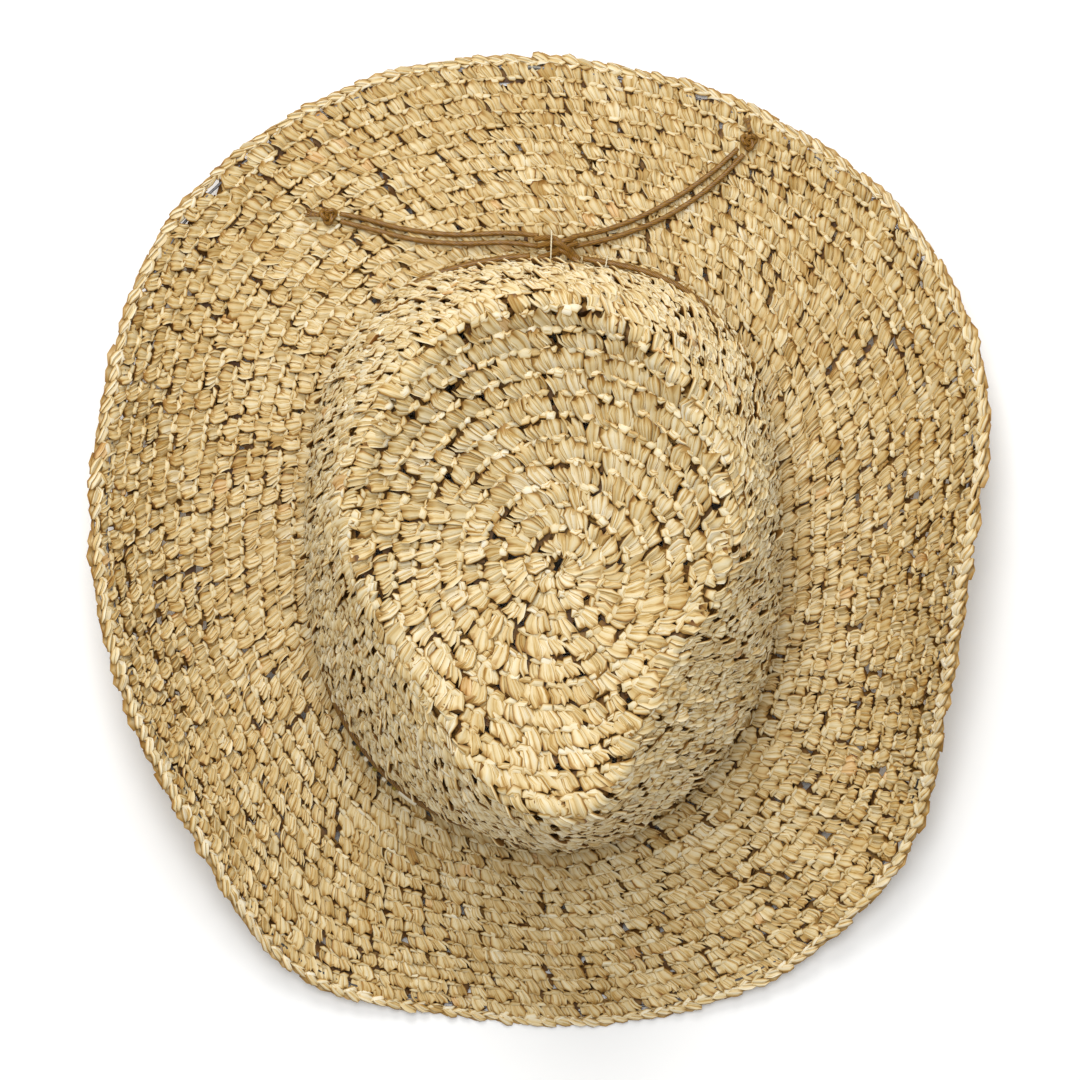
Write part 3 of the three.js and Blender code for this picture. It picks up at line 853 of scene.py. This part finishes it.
# %% Repeat the row, and read and write it as arrays
def repeated(row, wanted, name):
    """A row of stitches repeated until it has the wanted number, as one new mesh."""
    copy = row.copy()
    copy.data = row.data.copy()
    bpy.context.scene.collection.objects.link(copy)
    array = copy.modifiers.new("repeat", "ARRAY")
    array.use_relative_offset = False
    array.use_constant_offset = True
    array.constant_offset_displace = (VARIANTS, 0, 0)
    array.count = math.ceil(wanted / VARIANTS)
    graph = bpy.context.evaluated_depsgraph_get()
    mesh = bpy.data.meshes.new_from_object(copy.evaluated_get(graph))
    bpy.data.objects.remove(copy)
    bm = bmesh.new()
    bm.from_mesh(mesh)
    bm.verts.ensure_lookup_table()
    extra = bm.verts[wanted * (len(row.data.vertices) // VARIANTS):]
    bmesh.ops.delete(bm, geom=extra, context="VERTS")
    bm.to_mesh(mesh)
    bm.free()
    mesh.name = name
    piece = bpy.data.objects.new(name, mesh)
    bpy.context.scene.collection.objects.link(piece)
    return piece


def worked(piece, row, size):
    """Which stitch and strand each vertex belongs to, and its place in that stitch."""
    mesh = piece.data
    at = np.empty(len(mesh.vertices) * 3, np.float32)
    mesh.vertices.foreach_get("co", at)
    at = at.reshape(-1, 3).astype(float)
    stitch = np.arange(len(at)) // (len(row.data.vertices) // VARIANTS)
    strand = np.empty(len(at), np.int32)
    mesh.attributes["strand"].data.foreach_get("value", strand)
    place = at - np.stack([stitch, 0 * stitch, 0 * stitch], -1)
    place[:, 2] *= size
    return stitch, strand, place


def put(mesh, points):
    """Moves every vertex to its own point."""
    mesh.vertices.foreach_set("co", points.astype(np.float32).ravel())
    mesh.update()


DARKEST = -0.6 * MM            # the painted shade is deepest at the level between the layers of the fabric and fades out this far above and below
DARK_REACH = 1.1 * MM          # and it is light again this far above and below
TONE_MIDDLE = 0.52
TONE_BY_STITCH, TONE_BY_STRAND = 0.12, 0.15
TONE_ENDS = (0.12, 0.93)       # common tones; beyond them lie the two rare ones
RARE_TAN, RARE_DARK = 0.993, 0.012


def set_looks(mesh, stitch, strand, height, random, painted_light=0.0):
    """Tone and painted shade (the depth attribute) of each vertex, and UVs that start at a different
    place in each stitch. The last argument moves a whole piece's tone, a painted light or painted
    shade: parts of the hat are painted paler or darker than the rest, as the light falls on them."""
    shape = (int(stitch.max()) + 1, int(strand.max()) + 1)
    tones = random.normal(TONE_MIDDLE + painted_light, TONE_BY_STITCH, (shape[0], 1))
    tones = tones + random.normal(0, TONE_BY_STRAND, shape)
    rare = random.random(shape)
    tones = np.clip(tones, *TONE_ENDS)
    tones[rare > RARE_TAN] = 1.0
    tones[rare < RARE_DARK] = 0.0
    crease_shade = np.empty(len(mesh.vertices), np.float32)
    mesh.attributes["crease_shade"].data.foreach_get("value", crease_shade)
    # painted shade near the level between the layers, joined below with the painted shade of the folds
    low = np.clip(1 - np.abs(height - DARKEST) / DARK_REACH, 0, 1)
    depth = 1 - (1 - low) * (1 - crease_shade)
    for name, values in (("tone", tones[stitch, strand]), ("depth", depth)):
        attribute = mesh.attributes.new(name, "FLOAT", "POINT")
        attribute.data.foreach_set("value", values.astype(np.float32))
    uv = mesh.uv_layers[0].uv
    values = np.empty(len(uv) * 2, np.float32)
    uv.foreach_get("vector", values)
    owner = np.empty(len(mesh.loops), np.int32)
    mesh.loops.foreach_get("vertex_index", owner)
    shift = random.random((*shape, 2)) * (0.05, 0.2)
    values = values.reshape(-1, 2) + shift[stitch[owner], strand[owner]]
    uv.foreach_set("vector", values.astype(np.float32).ravel())


def crochet(name, first, last, replaced, slot, seed, painted_light):
    """Works the stitches from first to last of the spiral as one piece."""
    random = np.random.default_rng(seed)
    wanted = last - first
    piece = repeated(stitches, wanted, name)
    stitch, strand, place = worked(piece, stitches, STITCH_SIZE)
    size = random.normal(1.0, 0.10, wanted)[stitch]
    swell = random.normal(1.0, 0.13, wanted)[stitch]
    lean = random.normal(0.0, 0.09, wanted)[stitch]
    shift = random.normal(0.0, 0.045, (wanted, 2))[stitch]
    x = 0.5 + (place[:, 0] - 0.5) * size - lean * place[:, 1] + shift[:, 0]
    y = 0.5 + (place[:, 1] - 0.5) * (0.5 + size / 2) + shift[:, 1]

    number = np.clip(first + stitch + x, 0, stitch_count[-1])
    count = np.interp(number, stitch_count, turn_counts)
    inner, outer = level_of_turn(count), level_of_turn(count + 1)
    turn = SPIRAL_START - FULL_TURN * count
    ring = ring_of_round(turn, mix(inner, outer, y))
    put(piece.data, on_hat(turn, ring, place[:, 2] * swell))
    set_looks(piece.data, stitch, strand, place[:, 2], random, painted_light)
    belongs(piece, slot, replaced)
    triangles = sum(len(p.vertices) - 2 for p in piece.data.polygons)
    print(name, "stitches:", wanted, "triangles:", triangles)
    return piece


# %% Tip, side and brim
TIP_END = stitch_at(12.0)
WALL_HALF = stitch_at(21.0)
WALL_END = stitch_at(ROUNDS_TO_BREAK)
BRIM_HALF = stitch_at(ROUNDS_TO_BREAK + 7.6)
# The last number moves each piece's tone, a painted light or painted shade: the side of the crown paler,
# the brim darker.
crochet("tip_crochet", 0, TIP_END, "crown_tip", "raffia_tip", 11, painted_light=0.06)
crochet("wall_crochet_upper", TIP_END, WALL_HALF, "crown_wall", "raffia_wall", 12, painted_light=0.16)
crochet("wall_crochet_lower", WALL_HALF, WALL_END, "crown_wall", "raffia_wall", 13, painted_light=0.16)
crochet("brim_crochet_inner", WALL_END, BRIM_HALF, "brim", "raffia_brim", 14, painted_light=-0.1)
crochet("brim_crochet_outer", BRIM_HALF, LAST_STITCH, "brim", "raffia_brim", 15, painted_light=-0.2)
bpy.data.objects.remove(stitches)

# %% [markdown]
# ## The edge
#
# The last round is slip-stitched over a steel wire. A slip stitch is shallow, so its loops turn
# over the edge and lie one behind the other like a plait. It is worked the same way as the
# spiral: one slip stitch of three loops, repeated, and laid along the edge of the block. On
# the hat the edge looks paler than the brim inside it, so its strands are given paler tones, a
# painted light.

# %% The edge plait
PLAIT_INSET = 0.5 * MM
PLAIT_OPEN = 2.5 * MM          # keeps the plait out of the painted shade between the layers of the fabric
SLIP_SIZE = 5.4 * MM
SLIP_STRANDS = [
    {"route": [(1.08, -.20, .3), (.72, -.06, 1.3), (.28, .12, 1.5), (-.14, .26, .5)],
     "width": 3.0, "thick": 1.9, "steps": 4, "fold": "broad", "shape": "leaf", "jag": 0},
    {"route": [(.10, -.26, .2), (.40, -.26, 1.1), (.80, -.10, 1.0), (1.15, .10, .4)],
     "width": 2.4, "thick": 1.7, "steps": 3, "fold": "narrow", "shape": "bud", "jag": 0},
    {"route": [(-.15, .06, -.6), (.35, .16, -.7), (.80, .06, -.8), (1.15, .10, -.6)],
     "width": 2.8, "thick": 1.5, "steps": 2, "fold": "back", "shape": "band", "jag": 0},
]


def inset_ring(turn, inset):
    """The ring number that lies a distance in from the edge of the brim, measured flat."""
    width = around(EDGE_REACH, turn) - around(BASE_REACH, turn) - BRIM_START
    return EDGE_RING - inset / width / (BRIM_STEPS[-1] - BRIM_STEPS[-2])


edge_turns = np.linspace(0, FULL_TURN, 721)
edge_line = on_hat(edge_turns, inset_ring(edge_turns, PLAIT_INSET), 0.0)
edge_run = run_of(edge_line)
slip_count = round(edge_run[-1] / SLIP_SIZE)
slips = stitch_row("slips", SLIP_STRANDS, SLIP_SIZE, seed=6)
plait = repeated(slips, slip_count, "edge_plait")
stitch, strand, place = worked(plait, slips, SLIP_SIZE)
random = np.random.default_rng(21)
turn = -np.interp((stitch + place[:, 0]) / slip_count % 1.0 * edge_run[-1], edge_run, edge_turns)
swell = random.normal(1.0, 0.12, slip_count)[stitch]
stray = random.normal(0.0, 0.25 * MM, slip_count)[stitch]
inset = PLAIT_INSET - place[:, 1] * SLIP_SIZE * swell + stray
put(plait.data, on_hat(turn, inset_ring(turn, inset), place[:, 2]))
# the edge gets a paler tone, a painted light
set_looks(plait.data, stitch, strand, place[:, 2] + PLAIT_OPEN, random, painted_light=0.3)
belongs(plait, "raffia_edge", "brim_edge_plait")
bpy.data.objects.remove(slips)
print("slip stitches along the edge:", slip_count)

# %% [markdown]
# ## The band
#
# Two strands of waxed cord are tied round the crown just above the brim. Between the wall and
# the brim there is a shallow valley, and the belly of the wall above hides most of the band
# from above. A point of the band is a height above the break and a lift off the crochet.

# %% Points beside the wall, and the two strands
CORD_HEIGHTS = {"hat_cord_lower": 5.2 * MM, "hat_cord_upper": 8.6 * MM}
CORD_LIFT = 4.2 * MM
KNOT_TURN = math.radians(87)
KNOT_HALF_TURN = math.radians(5.2)
HALVINGS = 24                  # of the span between two rings, to find a height on the wall


def wall_ring(turn, height):
    """The ring number on the side of the crown at a height above the break."""
    turn, height = np.broadcast_arrays(np.asarray(turn, float), height)
    low, high = np.full(turn.shape, 10.0), np.full(turn.shape, 7.0)
    for _ in range(HALVINGS):
        middle = (low + high) / 2
        below = mid_point(turn, middle)[..., 2] < BREAK_HEIGHT + height
        low, high = np.where(below, middle, low), np.where(below, high, middle)
    return (low + high) / 2


def beside_wall(turn, height, lift=CORD_LIFT):
    """A point lifted off the side of the crown, at a height above the break."""
    return on_hat(turn, wall_ring(turn, height), lift)


band_turns = np.linspace(KNOT_TURN + KNOT_HALF_TURN, KNOT_TURN + FULL_TURN - KNOT_HALF_TURN, 620)
for name, height in CORD_HEIGHTS.items():
    line = beside_wall(band_turns, height)
    length = length_of(line)
    tube = rolled_tube(line, CordSection(CORD, length, sides=14))
    belongs(as_object(tube, name.replace("hat_cord", "band_strand"), WAXED_CORD), "waxed_cord", name)
    print(name, "mm:", round(length / MM))

# %% [markdown]
# ### The knot at the back
#
# The band's two strands and the two tails of each side meet in one knot. It is drawn as the few
# bights that show: one that wraps round, and strands that sweep over it from one side to the
# other. Each is a cord of its own, laid through five or six listed points about the middle.

# %% The knot
KNOT_SPREAD = 1.12             # the routes below are spread by this much
KNOT_STRAND = CORD * 1.1
KNOT_OUT = 3.4 * MM
between_strands = sum(CORD_HEIGHTS.values()) / 2
KNOT_MIDDLE = beside_wall(KNOT_TURN, between_strands) + np.array([0, KNOT_OUT, 0])
KNOT_ROUTES = [
    # a bight that comes in from the left, wraps round, and goes back below
    [(-7.0, 2.6, -1.6), (-3.0, 2.9, .6), (-.6, 2.6, 2.4), (.9, .6, 3.2), (.2, -1.8, 2.4),
     (-2.6, -2.6, .2), (-6.0, -3.8, -.8)],
    # strands that sweep over, from the upper left to the lower right
    [(-6.0, .2, -.4), (-2.4, 1.0, 1.6), (.4, .8, 4.0), (3.0, -.6, 3.2), (5.2, -2.4, 1.2),
     (7.4, -4.2, .2)],
    [(-1.6, -1.6, .6), (.6, -1.0, 2.6), (2.6, -1.9, 2.8), (4.8, -3.4, 1.2), (7.2, -5.0, 1.6)],
    # the bight of the right-hand tails
    [(-3.2, -.6, -1.2), (-.6, .2, .4), (1.8, 1.6, 1.8), (3.8, 2.2, 1.2), (6.6, 3.6, -.8)],
    [(.4, -2.4, -1.0), (2.2, -.8, .6), (4.0, .4, .8), (6.6, 1.2, -.6)],
]
bights = []
for route in KNOT_ROUTES:
    points = KNOT_MIDDLE + np.array(route) * KNOT_SPREAD * MM
    bights.append(cord_mesh(points, step=0.5 * MM, diameter=KNOT_STRAND)[0])
belongs(as_object(joined(bights), "band_knot", WAXED_CORD), "waxed_cord", "back_knot")

# %% [markdown]
# ### Sewing thread
#
# Two loops of cream cotton thread tack the knot and the strands to the crown so that the band
# cannot ride up. Thread is two yarns twisted together, so its section has two lobes.


# %% Thread material and the two tacks
def sewing_thread(name):
    """Cream cotton thread: matt, with the slant of its two yarns and painted shade between them."""
    material, shader = new_material(name)
    twist = node(
        material, "ShaderNodeTexWave", {"Scale": 1.6, "Distortion": 1.5, "Detail": 2.0},
        Vector=mapped(material, slant=35))
    # painted shade in the grooves between the two yarns
    colour = colour_steps(
        material, twist.outputs["Fac"], [(0.0, "#b9a577"), (0.5, "#e4d8b6"), (1.0, "#f3ead0")])
    coated(material, shader, colour, 0.75)
    bumped(material, shader, twist.outputs["Fac"], 0.5, 0.06 * MM)
    return material


THREAD = 0.6 * MM
THREAD_OUT = 0.45 * MM         # from the face of the ribbon to the middle of the seam's thread
YARN_PITCH = 1.4 * MM          # one turn of the thread's two yarns
SEWING_THREAD = sewing_thread("cotton_sewing_thread")
# height above the break and lift off the crochet, in mm
STRAND_TACK = [(1.4, 2.8), (3, 5.6), (6.9, 6.6), (10.8, 5.6), (12.4, 2.8)]
KNOT_TACK = [(14.4, 2.8), (14.8, 6), (14, 9.6), (10.4, 13), (6, 13.4)]
TACKS = {
    "tack_stitch_strands": (KNOT_TURN - math.radians(10), STRAND_TACK),
    "tack_stitch_knot": (KNOT_TURN + 0.02, KNOT_TACK),
}
for name, (turn, arch) in TACKS.items():
    points = [beside_wall(turn, height * MM, lift * MM) for height, lift in arch]
    tack = cord_mesh(
        points, step=0.3 * MM, diameter=THREAD, lobes=2, depth=0.2, pitch=YARN_PITCH, sides=10)[0]
    belongs(as_object(tack, name + "_thread", SEWING_THREAD), "sewing_thread", name)

# %% [markdown]
# ### Beads
#
# Ten pressed glass beads and one shell tube are threaded on the lower strand at the front left.
# Each is a profile spun about the cord, with a rounded rim and an open bore.


# %% Glass and shell
def glass(name, dark, light, roughness, metallic=0.0):
    """Opaque glass with a slightly uneven fired surface."""
    material, shader = new_material(name)
    place = node(material, "ShaderNodeTexCoord").outputs["Object"]
    cloud = node(
        material, "ShaderNodeTexNoise", {"Scale": 900.0, "Detail": 3.0}, Vector=place).outputs["Fac"]
    coated(material, shader, colour_steps(material, cloud, [(0.35, dark), (0.7, light)]), roughness)
    bumped(material, shader, cloud, 0.15, 0.1 * MM)
    shader.inputs["Metallic"].default_value = metallic
    return material


def shell_tube(name):
    """Cream shell, cut along its growth lines."""
    material, shader = new_material(name)
    uv = node(material, "ShaderNodeTexCoord").outputs["UV"]
    lines = drawn_out(material, uv, 1.1 * MM, 3.0)
    colour = colour_steps(
        material, lines, [(0.32, "#8a7348"), (0.42, "#dccba2"), (0.55, "#f3e9cf"), (0.8, "#faf4e2")])
    coated(material, shader, colour, 0.28)
    shader.inputs["Coat Weight"].default_value = 0.4
    return material


BLACK_GLASS = glass("black_glass", "#0d0b09", "#231d16", 0.12)
GOLD_GLASS = glass("gold_lustre_glass", "#6e5c14", "#b39a38", 0.22, metallic=0.55)
# white glass for the beads that stand in for the white glints on the black beads: a painted highlight
GLINT_WHITE_GLASS = glass("glint_white_glass", "#ded4ba", "#f7f2e2", 0.2)
SHELL = shell_tube("cream_shell")

# %% Spin and thread them
BEAD_RIM, BEAD_BORE, BEAD_HALF = 1.9 * MM, 1.3 * MM, 0.95 * MM
BEAD_STEPS = 24
BEAD_PITCH = 2.3 * MM
BEAD_COUNT = 10
BEAD_START = math.radians(227)
SHELL_HALF = 4.0 * MM
SHELL_GAP = 0.3 * MM
LOOK_AHEAD = 0.01              # of a radian, to find which way the strand runs
ROUNDING = 0.45 * MM


def spun(half, rim):
    """A tube along Z with a bore and a rounded rim, spun from its profile."""
    profile = [
        (BEAD_BORE, -half), (rim - ROUNDING, -half), (rim - 0.1 * ROUNDING, -half + 0.7 * ROUNDING),
        (rim, 0), (rim - 0.1 * ROUNDING, half - 0.7 * ROUNDING), (rim - ROUNDING, half), (BEAD_BORE, half)]
    bm = bmesh.new()
    verts = [bm.verts.new((x, 0, z)) for x, z in profile]
    edges = [bm.edges.new(pair) for pair in zip(verts, verts[1:] + verts[:1])]
    bmesh.ops.spin(
        bm, geom=verts + edges, cent=(0, 0, 0), axis=(0, 0, 1), angle=FULL_TURN,
        steps=BEAD_STEPS, use_merge=True)
    bmesh.ops.recalc_face_normals(bm, faces=bm.faces)
    uv = bm.loops.layers.uv.verify()
    for face in bm.faces:
        for loop in face.loops:
            at = loop.vert.co
            loop[uv].uv = (math.atan2(at.y, at.x) * rim, at.z)
    return bm


def thread_on(bm, turn):
    """Turns a spun bead along the lower strand and moves it there."""
    height = CORD_HEIGHTS["hat_cord_lower"]
    ahead, behind = beside_wall(turn + LOOK_AHEAD, height), beside_wall(turn - LOOK_AHEAD, height)
    place = Matrix.Translation(Vector(beside_wall(turn, height)))
    turned = Vector(ahead - behind).to_track_quat("Z", "Y").to_matrix().to_4x4()
    bmesh.ops.transform(bm, matrix=place @ turned, verts=bm.verts)
    return bm


bead_reach = float(around(BASE_REACH, BEAD_START)) + CORD_LIFT
# every fourth bead is white, a painted highlight that stands in for a glint of light on the strand
bead_glass = [
    (BLACK_GLASS, "bead_black"), (GOLD_GLASS, "bead_gold"), (BLACK_GLASS, "bead_black"),
    (GLINT_WHITE_GLASS, "bead_white")]
for number in range(BEAD_COUNT):
    material, slot = bead_glass[number % len(bead_glass)]
    bead = thread_on(spun(BEAD_HALF, BEAD_RIM), BEAD_START + number * BEAD_PITCH / bead_reach)
    name = f"bead_{number + 1:02d}"
    belongs(as_object(bead, name + "_glass", material), slot, name)
shell_place = (BEAD_COUNT - 0.5) * BEAD_PITCH + SHELL_HALF + SHELL_GAP
tube = thread_on(spun(SHELL_HALF, BEAD_RIM), BEAD_START + shell_place / bead_reach)
belongs(as_object(tube, "shell_tube", SHELL), "shell", "shell_bead")

# %% [markdown]
# ## Inside the crown
#
# A cotton grosgrain ribbon lies inside the crown at head height and is caught along its lower
# edge with a running stitch. A ribbon is a grid bent round, made 0.8 mm thick by solidify; its
# ribs are in its material, one every 0.9 mm across the ribbon.


# %% Sweatband
def grosgrain(name):
    """Ribbed cotton ribbon: matt and soft, with a shadow between its ribs."""
    material, shader = new_material(name)
    place = mapped(material)
    ribs = node(
        material, "ShaderNodeTexWave", {"Scale": 0.175, "Distortion": 0.3, "Detail": 1.0}, Vector=place)
    yarn = node(material, "ShaderNodeTexNoise", {"Scale": 2.5, "Detail": 3.0}, Vector=place)
    both = node(
        material, "ShaderNodeMath", {"operation": "MULTIPLY_ADD", 1: 0.4},
        i0=yarn.outputs["Fac"], i2=ribs.outputs["Fac"])
    colour = colour_steps(
        material, both.outputs[0], [(0.2, "#a8946c"), (0.7, "#d0bf98"), (1.2, "#e0d2b0")])
    coated(material, shader, colour, 0.85)
    bumped(material, shader, both.outputs[0], 0.6, 0.2 * MM)
    shader.inputs["Sheen Weight"].default_value = 0.2
    return material


RIBBON_THICK = 0.8 * MM
RIBBON_HIGH = 28 * MM
RIBBON_START = 4 * MM
RIBBON_GAP = 0.8 * MM          # between the inside of the cloth and the ribbon
RIBBON_LIFT = -(CLOTH / 2 + RIBBON_GAP + RIBBON_THICK / 2)
RIBBON_STEPS = (180, 6)

ribbon = bmesh.new()
bmesh.ops.create_grid(
    ribbon, x_segments=RIBBON_STEPS[0], y_segments=RIBBON_STEPS[1], size=0.5, calc_uvs=True)
ribbon_turns = np.array([(v.co.x + 0.5) * FULL_TURN for v in ribbon.verts])
ribbon_heights = np.array([RIBBON_START + (v.co.y + 0.5) * RIBBON_HIGH for v in ribbon.verts])
ribbon_points = beside_wall(ribbon_turns, ribbon_heights, RIBBON_LIFT)
middle_line = beside_wall(np.linspace(0, FULL_TURN, 361), RIBBON_START + RIBBON_HIGH / 2, RIBBON_LIFT)
ribbon_length = length_of(middle_line)
scaled_uv(ribbon, ribbon_length, RIBBON_HIGH)
for vert, point in zip(ribbon.verts, ribbon_points):
    vert.co = Vector(point)
bmesh.ops.remove_doubles(ribbon, verts=ribbon.verts, dist=1e-6)
bmesh.ops.recalc_face_normals(ribbon, faces=ribbon.faces)
bmesh.ops.solidify(ribbon, geom=ribbon.faces[:], thickness=RIBBON_THICK)
sweatband = as_object(ribbon, "sweatband_ribbon", grosgrain("cotton_grosgrain"))
belongs(sweatband, "cotton_ribbon", "sweatband")
print("sweatband, mm:", round(ribbon_length / MM), "by", round(RIBBON_HIGH / MM))

# %% The running stitch
STITCH_LONG = 6 * MM
SEAM_UP = 3 * MM
SEAM_SHARE = 0.995             # the two ends of the thread don't meet
SEAM_POINTS = 900
SEAM_LIFT = RIBBON_LIFT - RIBBON_THICK / 2 - THREAD_OUT
seam_turns = np.linspace(0, FULL_TURN * SEAM_SHARE, SEAM_POINTS)
wave = np.cos(np.linspace(0, ribbon_length / STITCH_LONG * FULL_TURN, SEAM_POINTS))
seam = beside_wall(seam_turns, RIBBON_START + SEAM_UP, SEAM_LIFT + np.clip(wave, 0, 0.6) * MM)
thread_section = CordSection(THREAD, length_of(seam), lobes=2, depth=0.15, pitch=YARN_PITCH, sides=7)
running = rolled_tube(seam, thread_section)
seam_thread = as_object(running, "sweatband_seam", SEWING_THREAD)
belongs(seam_thread, "sewing_thread", "sweatband_thread")

# %% [markdown]
# ## Wire and sleeve
#
# The shaping wire and the crimped sleeve over its joint are right as they come from the CAD
# model. They only need their metals: annealed steel, dull and a little stained, and tin.


# %% Metals
def drawn_metal(name, dark, light, roughness):
    """Drawn metal: stained in patches, which are also duller."""
    material, shader = new_material(name)
    place = node(material, "ShaderNodeTexCoord").outputs["Object"]
    stain = node(
        material, "ShaderNodeTexNoise", {"Scale": 400.0, "Detail": 5.0}, Vector=place).outputs["Fac"]
    link(material, colour_steps(material, stain, [(0.3, dark), (0.7, light)]), shader, "Base Color")
    rough = node(
        material, "ShaderNodeMapRange", {"To Min": roughness - 0.1, "To Max": roughness + 0.15},
        Value=stain)
    link(material, rough.outputs[0], shader, "Roughness")
    bumped(material, shader, stain, 0.2, 0.05 * MM)
    shader.inputs["Metallic"].default_value = 0.9
    return material


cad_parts["brim_wire"].material_slots[0].material = drawn_metal(
    "annealed_steel_wire", "#3a3634", "#6b6868", 0.42)
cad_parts["wire_sleeve"].material_slots[0].material = drawn_metal(
    "tinned_sleeve", "#55524c", "#7d7a72", 0.45)

# %% [markdown]
# ## Floor and light
#
# A plain pale floor, and broad soft lamps overhead, so that the shadows between the stitches
# are warm and open, as raffia throws light about inside itself.

# %% Floor and light
floor_mesh = bmesh.new()
bmesh.ops.create_grid(floor_mesh, x_segments=1, y_segments=1, size=3.0)
floor = as_object(floor_mesh, "floor", smooth=False)
floor_material, floor_shader = new_material("pale_paper")
floor_shader.inputs["Base Color"].default_value = linear("#fcfcfb")
floor_shader.inputs["Roughness"].default_value = 0.9
floor.data.materials.append(floor_material)


def soft_lamp(name, place, size, watts):
    """A round softbox that points at the hat."""
    data = bpy.data.lights.new(name, "AREA")
    data.shape = "DISK"
    data.size = size
    data.energy = watts
    lamp = bpy.data.objects.new(name, data)
    lamp.location = place
    lamp.rotation_euler = (Vector((0, 0, 0.05)) - Vector(place)).to_track_quat("-Z", "Y").to_euler()
    bpy.context.scene.collection.objects.link(lamp)


soft_lamp("lamp_above", (-0.10, 0.35, 2.0), 1.1, 21)
soft_lamp("lamp_behind", (-0.20, 1.27, 1.41), 0.8, 17)
world = bpy.data.worlds.new("studio")
world.use_nodes = True
background = world.node_tree.nodes["Background"]
background.inputs["Color"].default_value = linear("#ffffff")
background.inputs["Strength"].default_value = 0.44
bpy.context.scene.world = world
bpy.context.scene.view_settings.view_transform = "Standard"
